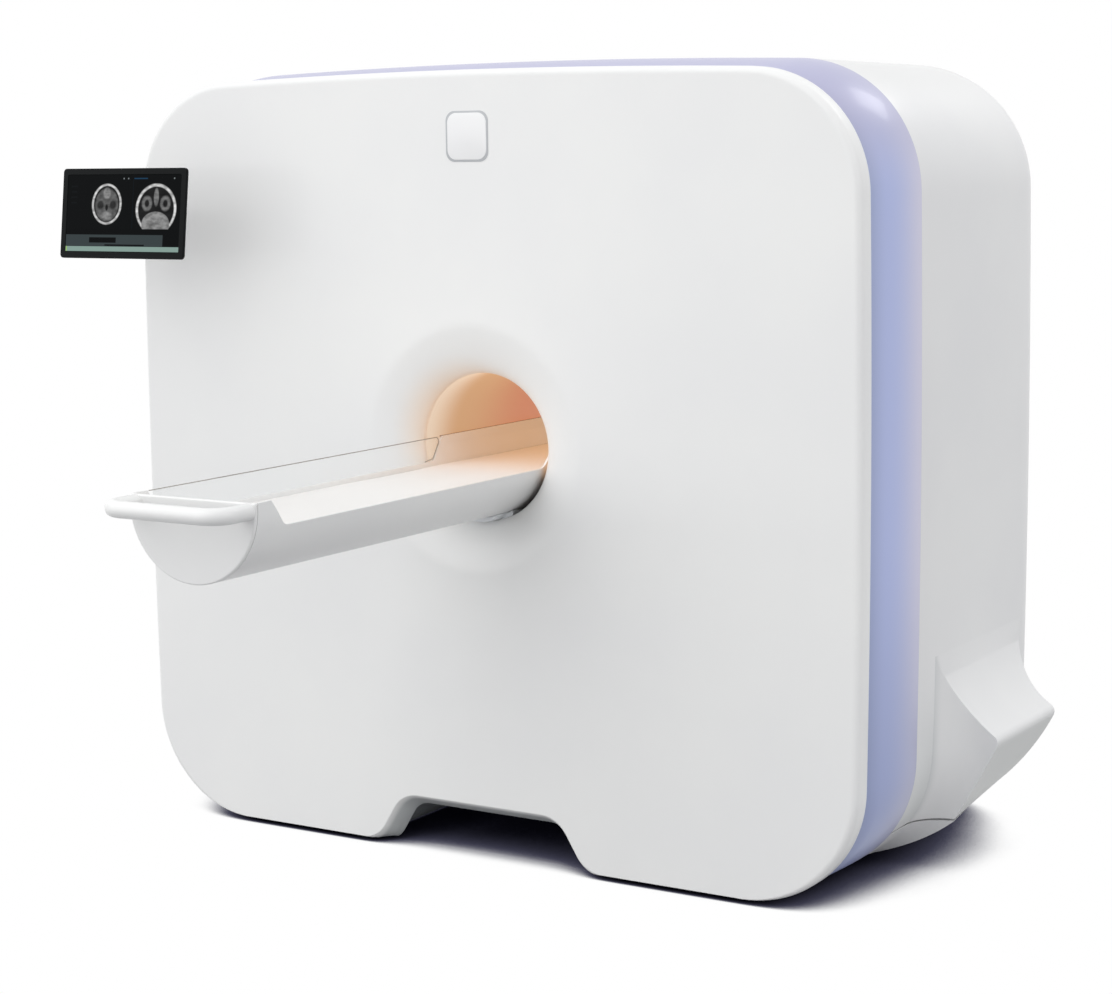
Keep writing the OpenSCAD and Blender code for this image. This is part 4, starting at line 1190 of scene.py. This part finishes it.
@dataclass
class RearHousing:
    """The deep hood behind the band with its skirts and the service panel."""

    outline: Outline = Outline()
    grow: float = 0.020
    start: float = 0.230
    depth: float = 0.940
    roll_r: float = 0.170
    wall: float = 0.006
    flange: float = 0.040
    rear_lip: float = 0.004
    low: float = 0.002
    seam: float = 0.107
    front_r: float = 0.002
    side_depths: Point = (0.35, 0.5, 0.65)
    path_points: int = 260
    screw_r: float = 0.008
    screw_h: float = 0.0025
    socket_r: float = 0.004
    side_levels: tuple[float, ...] = (0.300, 0.620, 0.940, 1.260)
    top_places: Point = (-0.420, 0.0, 0.420)

    def station(self, outset: float, low: float, depth: float) -> Ring:
        """One ring of the hood above the seam, at an outset, a lower edge and a depth."""
        return at_depth(clipped(self.outline.hood(outset, low, 0.0), self.seam, self.path_points), depth)

    def hood(self) -> Piece:
        """Makes the hood with its rolled rear and inner flange."""
        end = self.grow - self.roll_r
        roll_y = self.depth - self.roll_r
        inner_y = self.depth - self.wall
        inner_low = self.low + self.wall
        lip, flange = end - self.rear_lip, end - self.flange
        turns = quarter(18)
        rings = [self.station(self.grow - self.front_r * (1 - math.sin(a)), self.low,
                              self.start + self.front_r * (1 - math.cos(a))) for a in quarter(3)]
        rings += [self.station(self.grow, self.low, y) for y in self.side_depths]
        rings += [self.station(end + self.roll_r * math.cos(a), self.low,
                               roll_y + self.roll_r * math.sin(a)) for a in turns]
        rings += [self.station(lip, self.low + self.rear_lip, y) for y in (self.depth, inner_y)]
        rings += [self.station(flange, self.low + self.flange, y) for y in (inner_y, inner_y - self.wall)]
        rings += [self.station(end, inner_low, inner_y - self.wall)]
        inner_r = self.roll_r - self.wall
        rings += [self.station(end + inner_r * math.cos(a), inner_low, roll_y + inner_r * math.sin(a))
                  for a in reversed(turns[:-1:3])]
        rings += [self.station(self.grow - self.wall, inner_low, self.start)]
        return skin("rear_housing_skin", rings, True, False)

    def screws(self) -> Piece:
        """Makes the socket screws of the service panel with Geometry Nodes."""
        sizes = {"Head radius": self.screw_r, "Head height": self.screw_h, "Socket radius": self.socket_r}
        grown = GrownTree("socket_screws", list(sizes))
        t = grown.t
        tall = grown.start["Head height"]
        head = t.add("GeometryNodeMeshCylinder", {
            "Vertices": 32, "Radius": grown.start["Head radius"], "Depth": tall})
        socket = t.add("GeometryNodeMeshCylinder", {
            "Vertices": 6, "Radius": grown.start["Socket radius"], "Depth": tall})
        lift = t.add("ShaderNodeCombineXYZ", {2: t.math("MULTIPLY", tall, 0.5)})
        raised = t.add("GeometryNodeTransform", {
            "Geometry": socket.outputs["Mesh"], "Translation": lift.outputs[0]})
        bored = t.add("GeometryNodeMeshBoolean", {
            "Mesh 1": head.outputs["Mesh"], "Mesh 2": raised.outputs[0]}, operation="DIFFERENCE")
        spots = t.add("GeometryNodeMeshToPoints", {"Mesh": grown.start["Geometry"]})
        facing = (math.radians(-90), 0.0, 0.0)
        heads = t.add("GeometryNodeInstanceOnPoints", {
            "Points": spots.outputs[0], "Instance": bored.outputs[0], "Rotation": facing})
        grown.close(heads.outputs[0], Finishes.steel)
        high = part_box("rear_screws")[1]
        side_x, top_z = high.x - self.screw_r, high.z - self.screw_r
        depth = high.y - self.screw_h / 2
        points = [(side * side_x, depth, z + FOOT_H) for side in (-1, 1) for z in self.side_levels]
        points += [(x, depth, top_z) for x in self.top_places]
        made = grown.grow("service_screws", points, [], sizes)
        shade(made)
        return made

    def build(self) -> None:
        """Makes and dresses the whole rear."""
        dress(self.hood(), Finishes.housing, Body.SCANNER, "housing_white", "rear_housing")
        for node in ("skirt_right", "skirt_left"):
            SoftCopy(node, f"{node}_skin", Finishes.skirt, "housing_white").build()
        SoftCopy("rear_cover", "service_panel", Finishes.housing, "housing_white", 0.0008).build()
        dress(self.screws(), Finishes.steel, Body.SCANNER, "pin_steel", "rear_screws")
        SoftCopy("mains_inlet", "mains_inlet_socket", Finishes.black, "black_plastic", 0.0008).build()


@dataclass
class Fairing:
    """A side fairing that grows out of the housing, with hollow ends and a side drawn in below its rear."""

    outline: Outline = Outline()
    grow: float = 0.020
    out: float = 0.104
    front: float = 0.380
    length: float = 0.320
    tip_r: float = 0.017
    top_z: float = 0.4595
    seam: Flat = (0.107, 0.103)
    low: float = 0.002
    foot_end: float = 0.020
    foot_share: Flat = (1.0, 0.7)
    foot_steps: int = 24
    start_a: float = 3.0
    tip_a: float = 56.0
    under_a: float = 27.0
    under_r: Flat = (2.5, 0.52)
    blend_r: float = 0.080
    crowding: float = 1.6
    sunk: float = 0.001

    def shoulder(self) -> Path:
        """Outer line of the fairing from its top to below its rounded edge."""
        a0, a1 = math.radians(self.start_a), math.radians(self.tip_a)
        half = self.wall(self.top_z)
        out = self.outline.width / 2 + self.grow + self.out - half
        radius = (out - self.tip_r * (1 - math.cos(a1))) / (math.cos(a0) - math.cos(a1))
        top = [(half + radius * (math.cos(a0) - math.cos(a)),
                self.top_z + radius * (math.sin(a0) - math.sin(a))) for a in spaced(a0, a1, 28)]
        tip = (top[-1][0] - self.tip_r * math.cos(a1), top[-1][1] - self.tip_r * math.sin(a1))
        return top + arc(tip, self.tip_r, self.tip_a, -self.under_a, 12)[1:]

    def under(self, join: Flat, z: float, radius: float) -> float:
        """Reach of the lower side at a height.

        Args:
            join: Where the lower side leaves the rounded edge.
            z: The height.
            radius: Radius of the lower side.

        Returns:
            The distance from the middle plane.
        """
        start = math.radians(self.under_a)
        turn = math.asin(math.sin(start) + (join[1] - z) / radius)
        return join[0] + radius * (math.cos(turn) - math.cos(start))

    def wall(self, z: float) -> float:
        """Half width of the housing.

        Args:
            z: The height.

        Returns:
            The distance from the middle plane.
        """
        corner_r = self.outline.corner_r + self.grow
        foot = self.outline.foot_centre(self.low + corner_r)
        if z < foot[1]:
            return foot[0] + math.sqrt(max(0.0, corner_r ** 2 - (foot[1] - z) ** 2))
        side = self.outline.side_centre
        return side[0] + math.sqrt((self.outline.side_bow_r + self.grow) ** 2 - (z - side[1]) ** 2)

    def hollow(self, wall: float, reach: float) -> Path:
        """End wall at one height.

        Args:
            wall: Half width of the housing there.
            reach: Reach of the fairing there.

        Returns:
            Distance from the middle plane and sweep away from the fairing, from the wall outward.
        """
        out = reach - wall
        steps = [-2 * self.sunk] + [out * share ** self.crowding for share in spaced(0.0, 1.0, 12)]
        lefts = [self.blend_r - min(max(step, 0.0), self.blend_r) for step in steps]
        return [(wall + step - self.sunk, self.blend_r - math.sqrt(self.blend_r ** 2 - left ** 2))
                for step, left in zip(steps, lefts)]

    def row(self, reach: Flat, z: float, side: int) -> Ring:
        """One level of the fairing: out along the front end, back along the face, in along the rear end.

        Args:
            reach: Reach at the front and the rear end.
            z: The height.
            side: 1 on the right, -1 on the left.

        Returns:
            The ring.
        """
        wall = self.wall(z)
        first = [(x, self.front - sweep) for x, sweep in self.hollow(wall, reach[0])]
        last = [(x, self.front + self.length + sweep) for x, sweep in self.hollow(wall, reach[1])]
        return [(side * x, y + FRONT_Y, z + FOOT_H) for x, y in first + list(reversed(last))]

    def foot(self, reach: Flat) -> list[tuple[Flat, float]]:
        """Levels of the foot under the seam, which runs in to the wall in a full curve.

        Args:
            reach: Reach of the front and the rear end at the seam.

        Returns:
            Both reaches and the height of each level.
        """
        top = self.seam[1]
        found = []
        for i, z in enumerate(spaced(top, self.foot_end, self.foot_steps)):
            left = math.sqrt(1 - i / self.foot_steps)
            outs = [(r - self.wall(top)) * share * left for r, share in zip(reach, self.foot_share)]
            found.append(((self.wall(z) + outs[0], self.wall(z) + outs[1]), z))
        return found

    def build(self) -> None:
        """Makes both fairings and the small feet under the seam."""
        shoulder = self.shoulder()
        join = shoulder[-1]
        levels = [((x, x), z) for x, z in shoulder]
        levels += [(tuple(self.under(join, z, radius) for radius in self.under_r), z)
                   for z in spaced(join[1], self.seam[0], 30)[1:]]
        foot = self.foot(levels[-1][0])
        for side, word in ((1, "right"), (-1, "left")):
            upper = [self.row(reach, z, side) for reach, z in levels]
            dress(skin(f"fairing_{word}_skin", upper, False, True),
                  Finishes.fairing, Body.SCANNER, "housing_white", f"fairing_{word}")
            lower = [self.row(reach, z, side) for reach, z in foot]
            dress(skin(f"fairing_{word}_foot", lower, False, True),
                  Finishes.skirt, Body.SCANNER, "housing_white")


@dataclass
class Bore:
    """The warm-lit bore with its light ring and the rail under the tray."""

    round_angle: float = 40.0
    rail_bevel: float = 0.002

    def build(self) -> None:
        """Makes and dresses the bore."""
        for node in ("bore_lining", "bore_light_ring"):
            SoftCopy(node, f"{node}_skin", Finishes.bore, "bore_warm", 0.0, angle=self.round_angle).build()
        SoftCopy("tray_rail", "tray_rail_skin", Finishes.rail, "rail_grey", self.rail_bevel, 3).build()


@dataclass
class Tray:
    """The half-round tray with its end, handle loop, mattress and clear guard."""

    bore_z: float = 0.845
    radius: float = 0.140
    wall: float = 0.005
    reach: float = 0.871
    inside: float = 0.520
    rim_rise: float = 0.011
    handle_d: float = 0.030
    handle_out: float = 0.079
    bend_r: float = 0.036
    round_angle: float = 50.0
    mat_drop: float = 0.044
    mat_t: float = 0.030
    mat_edge: float = 0.009
    mat_gap: float = 0.001
    mat_end: float = 0.010
    mat_rows: int = 120
    mat_cols: int = 44
    mat_fill: float = 0.85
    crown: float = 0.003
    crown_run: float = 0.08
    ripple: float = 0.0005
    stitch: float = 0.006
    stitch_pitch: float = 1.5
    thread_r: float = 0.0005
    seam_in: float = 0.012
    seam_end: float = 0.022
    seam_up: float = 0.0006
    edge_r: float = 0.0009
    edge_bend: float = 0.008
    guard_start: float = 0.006
    guard_inset: Point = (0.0016, 0.004, 0.0012)
    guard_drop: tuple[Point, ...] = ((0.0, 0.0, 0.0), (0.0035, 0.0345, 0.042), (0.0055, 0.066, 0.0455))
    # Inset of the painted shadow line from the rim.
    shadow_line_inset: Point = (0.0006, 0.002, 0.0002)

    @property
    def axis_z(self) -> float:
        """Height of the bore axis."""
        return self.bore_z + FOOT_H

    @property
    def rim_z(self) -> float:
        """Height of the tray's rim."""
        return self.axis_z + self.rim_rise

    def trough(self, z: float) -> float:
        """Half width that the mattress has at a height above the axis."""
        return math.sqrt((self.radius - self.wall - self.mat_gap) ** 2 - z ** 2)

    def bent_bar(self) -> GrownTree:
        """Makes the tree for bent bars: a path with rounded bends and a round section."""
        grown = GrownTree("bent_bar", ["Bar radius", "Bend radius"])
        t = grown.t
        path = t.add("GeometryNodeMeshToCurve", {"Mesh": grown.start["Geometry"]})
        bent = t.add("GeometryNodeFilletCurve", {
            "Curve": path.outputs[0], "Radius": grown.start["Bend radius"], "Count": 18}, mode="POLY")
        bar = t.add("GeometryNodeCurvePrimitiveCircle", {
            "Resolution": 32, "Radius": grown.start["Bar radius"]})
        tube = t.add("GeometryNodeCurveToMesh", {
            "Curve": bent.outputs[0], "Profile Curve": bar.outputs[0], "Fill Caps": True})
        grown.close(tube.outputs[0], Finishes.tray)
        return grown

    def bar(self, tree: GrownTree, name: str, points: list[Point], radius: float, bend_r: float) -> Piece:
        """Makes a bent bar along the corners of a path."""
        edges = [(i, i + 1) for i in range(len(points) - 1)]
        return tree.grow(name, points, edges, {"Bar radius": radius, "Bend radius": bend_r})

    def handle(self, tree: GrownTree) -> Piece:
        """Makes the handle loop.

        Args:
            tree: The tree for bent bars.

        Returns:
            The piece.
        """
        radius = self.handle_d / 2
        half = self.radius - radius
        y0 = FRONT_Y - self.reach
        y1 = y0 - self.handle_out
        z = self.rim_z - radius
        points = [(half, y0, z), (half, y1, z), (-half, y1, z), (-half, y0, z)]
        made = self.bar(tree, "tray_handle_loop", points, radius, self.bend_r)
        shade(made, self.round_angle)
        return made

    def mattress(self) -> Piece:
        """Makes the crowned mattress: a soft section drawn along the tray with rounded ends."""
        top, low = -self.mat_drop, -self.mat_drop - self.mat_t
        y0 = FRONT_Y - self.reach + self.mat_end
        y1 = FRONT_Y + self.inside - self.mat_end
        half_top, half_low = self.trough(top - self.mat_edge), self.trough(low)

        def rounded(share: float) -> float:
            """Height of a quarter round at a share of its run."""
            return math.sqrt(max(0.0, 1 - (1 - min(1.0, share)) ** 2))

        def height(across: float, y: float) -> float:
            """Height of the top face: crowned, and rolled down at its edges.

            Args:
                across: Place across the mattress, from -1 to 1.
                y: Place along it.

            Returns:
                The height above the bore axis.
            """
            end = min(y - y0, y1 - y)
            roll = rounded((1 - abs(across)) * half_top / self.mat_edge) * rounded(end / self.mat_edge)
            swell = self.crown * (1 - across ** 2) * min(1.0, end / self.crown_run)
            wave = self.ripple * math.sin(9.0 * y + 2.0 * math.sin(5.0 * y)) * across ** 2
            return top - self.mat_edge * (1 - roll) + (swell + wave) * roll

        def eased(count: int) -> list[float]:
            """Shares from 0 to 1, closer together at both ends."""
            return [0.5 - 0.5 * math.cos(a) for a in spaced(0.0, math.pi, count)]

        sides = [2 * share - 1 for share in eased(self.mat_cols)]
        rows = []
        for y in (y0 + (y1 - y0) * share for share in eased(self.mat_rows)):
            upper = [(s * half_top, y, self.axis_z + height(s, y)) for s in sides]
            lower = [(s * half_low, y, self.axis_z + low) for s in sides]
            rows.append(upper + list(reversed(lower)))
        return skin("mattress_pad", rows, False, True, self.round_angle)

    def stitches(self) -> Piece:
        """Makes the row of stitches along the mattress edge with Geometry Nodes."""
        sizes = {"Stitch length": self.stitch, "Thread radius": self.thread_r}
        grown = GrownTree("edge_stitches", list(sizes))
        t = grown.t
        length = grown.start["Stitch length"]
        path = t.add("GeometryNodeMeshToCurve", {"Mesh": grown.start["Geometry"]})
        pitch = t.math("MULTIPLY", length, self.stitch_pitch)
        spots = t.add("GeometryNodeCurveToPoints", {
            "Curve": path.outputs[0], "Length": pitch}, mode="LENGTH").outputs
        thread = t.add("GeometryNodeMeshCylinder", {
            "Vertices": 6, "Radius": grown.start["Thread radius"], "Depth": length})
        rows = t.add("GeometryNodeInstanceOnPoints", {
            "Points": spots["Points"], "Instance": thread.outputs["Mesh"], "Rotation": spots["Rotation"]})
        grown.close(rows.outputs[0], Finishes.thread)
        half = self.trough(-self.mat_drop - self.mat_edge) - self.seam_in
        z = self.axis_z - self.mat_drop + self.seam_up
        y0 = FRONT_Y - self.reach + self.seam_end
        y1 = FRONT_Y + self.inside - self.seam_end
        points = [(half, y0, z), (half, y1, z), (-half, y1, z), (-half, y0, z)]
        return grown.grow("mattress_stitches", points, [(0, 1), (1, 2), (2, 3), (3, 0)], sizes)

    def guard_edge(self, tree: GrownTree) -> Piece:
        """Makes the darker cut edge of the clear guard.

        Args:
            tree: The tree for bent bars.

        Returns:
            The piece.
        """
        lo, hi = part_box("side_guard")
        inset = self.guard_inset
        x, end, z = lo.x + inset[0], hi.y - inset[1], hi.z - inset[2]
        points = [(x, lo.y + self.guard_start, z)]
        points += [(x + dx, end - dy, z - dz) for dx, dy, dz in self.guard_drop]
        return self.bar(tree, "side_guard_edge", points, self.edge_r, self.edge_bend)

    def rim_shadow_line(self, tree: GrownTree) -> Piece:
        """Makes a painted shadow line: a dark strip on the far rim behind the guard, where shade falls in
        the gap to the lining.

        Args:
            tree: The tree for bent bars.

        Returns:
            The piece.
        """
        inset = self.shadow_line_inset
        x, z = inset[0] - self.radius, self.rim_z - inset[2]
        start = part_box("side_guard")[1].y - self.guard_inset[1]
        points = [(x, start, z), (x, FRONT_Y + self.inside - inset[1], z)]
        return self.bar(tree, "tray_rim_shadow_line", points, self.edge_r, 0.0)

    def build(self) -> None:
        """Makes and dresses the tray."""
        tree = self.bent_bar()
        SoftCopy("tray_shell", "tray_shell_skin", Finishes.tray, "tray_white", 0.0016, 3, Body.TRAY).build()
        SoftCopy("tray_end_cap", "tray_end_skin", Finishes.tray, "tray_white", 0.003, 4, Body.TRAY).build()
        dress(self.handle(tree), Finishes.tray, Body.TRAY, "tray_white", "tray_handle")
        pad = dress(self.mattress(), Finishes.vinyl, Body.TRAY, "mattress_vinyl", "mattress")
        dress(self.stitches(), Finishes.thread, Body.TRAY, "mattress_vinyl")
        guard = SoftCopy("side_guard", "side_guard_sheet", Finishes.clear, "guard_clear",
                         0.0004, body=Body.TRAY)
        guard.build()
        dress(self.guard_edge(tree), Finishes.guard_edge, Body.TRAY, "guard_clear")
        # Painted shadow line along the far rim.
        dress(self.rim_shadow_line(tree), Finishes.shadow_line_paint, Body.TRAY, "tray_white")


@dataclass
class Monitor:
    """The monitor and the arm that carries it."""

    centre: Point = (-0.728, -0.1862, 1.3306)
    lean: float = 7.0
    half: Flat = (0.1542, 0.0802)

    def ovals(self) -> tuple[Oval, ...]:
        """Gives the two generic test sections of the screen picture."""
        return (
            Oval(-0.29, 0.24, 0.27, 0.54, 0.55, 0.05), Oval(-0.29, 0.24, 0.235, 0.485, 0.012, 0.05),
            Oval(-0.29, 0.22, 0.215, 0.45, 0.10, 0.10), Oval(-0.29, 0.52, 0.075, 0.17, 0.24, 0.3),
            Oval(-0.40, 0.22, 0.07, 0.14, 0.025, 0.4), Oval(-0.18, 0.22, 0.07, 0.14, 0.025, 0.4),
            Oval(-0.29, -0.06, 0.12, 0.12, 0.22, 0.4), Oval(-0.29, 0.15, 0.03, 0.10, 0.01, 0.4),
            Oval(0.58, 0.12, 0.36, 0.66, 0.6, 0.05), Oval(0.58, 0.11, 0.32, 0.60, 0.010, 0.05),
            Oval(0.58, -0.28, 0.25, 0.34, 0.22, 0.06), Oval(0.42, 0.26, 0.10, 0.22, 0.14, 0.25),
            Oval(0.74, 0.26, 0.10, 0.22, 0.14, 0.25), Oval(0.42, 0.26, 0.05, 0.12, 0.012, 0.4),
            Oval(0.74, 0.26, 0.05, 0.12, 0.012, 0.4), Oval(0.58, 0.42, 0.05, 0.26, 0.16, 0.3),
        )

    def bars(self) -> tuple[Bar, ...]:
        """Gives the plain bars and dots of the screen picture."""
        dim = (0.004, 0.005, 0.006, 1.0)
        black = (0.0012, 0.0014, 0.0016, 1.0)
        pale = srgb(120, 126, 128)
        rows = [Bar(-0.88, z, hx, 0.02, dim)
                for z, hx in ((0.70, 0.06), (0.56, 0.05), (0.42, 0.06), (0.28, 0.05))]
        dots = [Bar(x, 0.90, 0.012, 0.02, pale) for x in (0.0, 0.08, 0.88)]
        return (
            Bar(0.0, -0.72, 1.0, 0.32, black), Bar(-0.14, -0.70, 0.86, 0.15, srgb(56, 64, 66)),
            Bar(-0.34, -0.69, 0.24, 0.07, black), Bar(0.05, -0.82, 0.35, 0.02, black),
            Bar(0.0, -0.92, 1.0, 0.065, srgb(134, 158, 150)),
            Bar(-0.985, -0.92, 0.012, 0.065, srgb(150, 190, 110)), *rows,
            Bar(0.17, 0.25, 0.002, 0.64, srgb(22, 44, 58)),
            Bar(0.30, 0.90, 0.12, 0.018, srgb(24, 58, 84)), *dots,
        )

    def build(self) -> None:
        """Makes and dresses the monitor and its arm."""
        picture = ScreenPicture(
            "screen_panel", srgb(8, 9, 10), srgb(6, 7, 8), 0.2, Relief.PEEL, 60.0, 0.00001, specular=0.02,
            place=self.centre, lean=self.lean, half=self.half, ovals=self.ovals(), bars=self.bars())
        shown = (
            ("monitor_housing", "monitor_case", Finishes.black, "black_plastic", 0.002, 3),
            ("monitor_bezel", "monitor_frame", Finishes.bezel, "bezel_black", 0.0008, 2),
            ("monitor_screen", "monitor_panel", picture, "screen_glass", 0.0003, 2),
        )
        for values in shown:
            SoftCopy(*values, body=Body.SCREEN).build().visible_shadow = False
        carried = (
            ("arm_bracket", Finishes.arm, "arm_paint", Body.SCANNER),
            ("arm_pin", Finishes.steel, "pin_steel", Body.SCANNER),
            ("swing_arm", Finishes.arm, "arm_paint", Body.ARM),
            ("head_pin", Finishes.steel, "pin_steel", Body.ARM),
            ("swivel_head", Finishes.black, "black_plastic", Body.HEAD),
            ("tilt_pin", Finishes.steel, "pin_steel", Body.HEAD),
        )
        for node, finish, slot, body in carried:
            SoftCopy(node, f"{node}_soft", finish, slot, body=body).build()


@dataclass
class InnerWorks:
    """Frame, magnet and electronics inside the housing, which stay as the CAD has them."""

    kept: tuple[tuple[Finish, str], ...] = (
        (Finishes.strip, "band_light_strip"),
        (Finishes.lining, "arch_lining rf_former tray_deck"),
        (Finishes.frame_coat, "base_frame magnet_cradle"),
        (Finishes.rubber, "foot_pads gradient_rings rf_rings"),
        (Finishes.vessel, "magnet_vessel cold_neck"),
        (Finishes.shield, "heat_shield cold_head"),
        (Finishes.potting, "coil_former hanger_posts gradient_coil"),
        (Finishes.copper, "main_coils rf_birdcage"),
        (Finishes.cabinet, "gradient_amplifier rf_amplifier power_supply control_unit"),
        (Finishes.black, "fan_frame tray_shoe"),
    )

    def build(self) -> None:
        """Gives every carried-over node its finish and softens the fan."""
        for finish, nodes in self.kept:
            for node in nodes.split():
                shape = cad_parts[node]
                shape.data.materials.clear()
                shape.data.materials.append(finish.material())
                LOG.info("node %s: %s", node, finish.name)
        rotor = SoftCopy("fan_rotor", "fan_rotor_soft", Finishes.black, "black_plastic",
                         0.0005, body=Body.FAN)
        rotor.build()


@dataclass(frozen=True)
class Lamp:
    """A soft square lamp: where it hangs, where it points, its side and its power in watts."""

    name: str
    place: Point
    aim: Point
    size: float
    power: float


@dataclass
class Studio:
    """Camera, lamps, floor and background."""

    yaw: float = 31.68
    pitch: float = 8.05
    roll: float = -0.678
    place: Point = (2.6935, -4.0324, 1.4431)
    focal_px: float = 2428.28
    image_w: float = 1112.0
    sensor: float = 36.0
    clip_end: float = 200.0
    world_tint: Colour = (0.97, 0.98, 1.0, 1.0)
    world_light: float = 0.78
    floor_half: float = 30.0
    floor_matte: Colour = (0.31, 0.31, 0.32, 1.0)
    shadow_reach: float = 0.36
    shadow_samples: int = 32
    core: Colour = (0.0004, 0.0004, 0.001, 1.0)
    core_levels: Flat = (0.05, 0.30)
    fringe: Colour = (0.07, 0.07, 0.11, 1.0)
    fringe_levels: Flat = (0.21, 0.49)
    lamps: tuple[Lamp, ...] = (
        Lamp("key_lamp", (-4.8, -7.5, 6.6), (0.0, 0.0, 0.9), 14.0, 705.0),
        Lamp("top_lamp", (0.8, 0.6, 5.2), (0.0, 0.3, 0.8), 4.0, 3.0),
        Lamp("side_lamp", (6.5, -1.0, 3.2), (0.9, 0.4, 1.0), 5.0, 68.0),
        Lamp("rim_lamp", (1.65, 2.7, 3.7), (0.85, 0.15, 1.5), 1.0, 15.0),
    )

    def hang(self, name: str, data: bpy.types.ID, place: Point, turn: Matrix) -> Piece:
        """Puts a camera or a lamp into the scene.

        Args:
            name: Its name.
            data: The camera or lamp.
            place: Where it hangs.
            turn: Its rotation.

        Returns:
            The new object.
        """
        made = bpy.data.objects.new(name, data)
        bpy.context.scene.collection.objects.link(made)
        made.matrix_world = Matrix.Translation(place) @ turn.to_4x4()
        return made

    def camera(self) -> None:
        """Sets the camera at the photo's angle."""
        yaw, pitch, roll = (math.radians(a) for a in (self.yaw, self.pitch, self.roll))
        level = Vector((math.cos(yaw), math.sin(yaw), 0.0))
        rise = Vector((-math.sin(yaw) * math.sin(pitch), math.cos(yaw) * math.sin(pitch), math.cos(pitch)))
        right = math.cos(roll) * level + math.sin(roll) * rise
        up = math.cos(roll) * rise - math.sin(roll) * level
        data = bpy.data.cameras.new("photo_camera")
        data.sensor_width = self.sensor
        data.lens = self.sensor * self.focal_px / self.image_w
        data.clip_end = self.clip_end
        turn = Matrix((right, up, right.cross(up))).transposed()
        bpy.context.scene.camera = self.hang("photo_camera", data, self.place, turn)

    def light(self, lamp: Lamp) -> None:
        """Adds a lamp.

        Args:
            lamp: The lamp.
        """
        data = bpy.data.lights.new(lamp.name, "AREA")
        data.size = lamp.size
        data.energy = lamp.power
        aim = Vector(lamp.aim) - Vector(lamp.place)
        self.hang(lamp.name, data, lamp.place, aim.to_track_quat("-Z", "Y").to_matrix())

    def seen(self, t: Tree) -> Socket:
        """Share that is 1 for rays that show the background itself.

        Args:
            t: The tree.

        Returns:
            The share.
        """
        ray = t.add("ShaderNodeLightPath").outputs
        both = t.math("MAXIMUM", ray["Is Camera Ray"], ray["Is Glossy Ray"])
        return t.math("MAXIMUM", both, ray["Is Transmission Ray"])

    def either(self, t: Tree, lit: Node, shown: Node, output: str) -> None:
        """Ends a tree with one shader for light and another for what is seen."""
        both = t.add("ShaderNodeMixShader", {0: self.seen(t), 1: lit.outputs[0], 2: shown.outputs[0]})
        t.add(output, {"Surface": both.outputs[0]})

    def world(self) -> None:
        """Sets soft light from all round and a white background."""
        made = bpy.data.worlds.new("studio_world")
        made.use_nodes = True
        made.node_tree.nodes.clear()
        bpy.context.scene.world = made
        t = Tree(made.node_tree)
        soft = t.add("ShaderNodeBackground", {"Color": self.world_tint, "Strength": self.world_light})
        white = t.add("ShaderNodeBackground", {"Color": WHITE, "Strength": 1.0})
        self.either(t, soft, white, "ShaderNodeOutputWorld")

    def floor(self) -> None:
        """Makes the white floor, which keeps a bluish contact shadow."""
        work = bmesh.new()
        bmesh.ops.create_grid(work, x_segments=2, y_segments=2, size=self.floor_half)
        made = piece_of("studio_floor", work)
        coat = bpy.data.materials.new("studio_floor")
        coat.use_nodes = True
        coat.node_tree.nodes.clear()
        t = Tree(coat.node_tree)
        near = t.add("ShaderNodeAmbientOcclusion", {"Distance": self.shadow_reach},
                     samples=self.shadow_samples)
        open_share = near.outputs["AO"]
        deep = t.mix(t.spread(open_share, *self.core_levels), self.core, self.fringe)
        tone = t.mix(t.spread(open_share, *self.fringe_levels), deep, WHITE)
        shown = t.add("ShaderNodeEmission", {"Color": tone, "Strength": 1.0})
        matte = t.add("ShaderNodeBsdfDiffuse", {"Color": self.floor_matte})
        self.either(t, matte, shown, "ShaderNodeOutputMaterial")
        made.data.materials.append(coat)

    def build(self) -> None:
        """Sets up the whole studio."""
        bpy.context.scene.view_settings.view_transform = "Standard"
        self.camera()
        self.world()
        self.floor()
        for lamp in self.lamps:
            self.light(lamp)


def main() -> None:
    """Builds the scanner piece by piece."""
    kinds = (Studio, FrontCover, LightBand, RearHousing, Fairing, Bore, Tray, Monitor, InnerWorks)
    for kind in kinds:
        LOG.info("building %s", kind.__name__)
        kind().build()


if __name__ == "__main__":
    main()
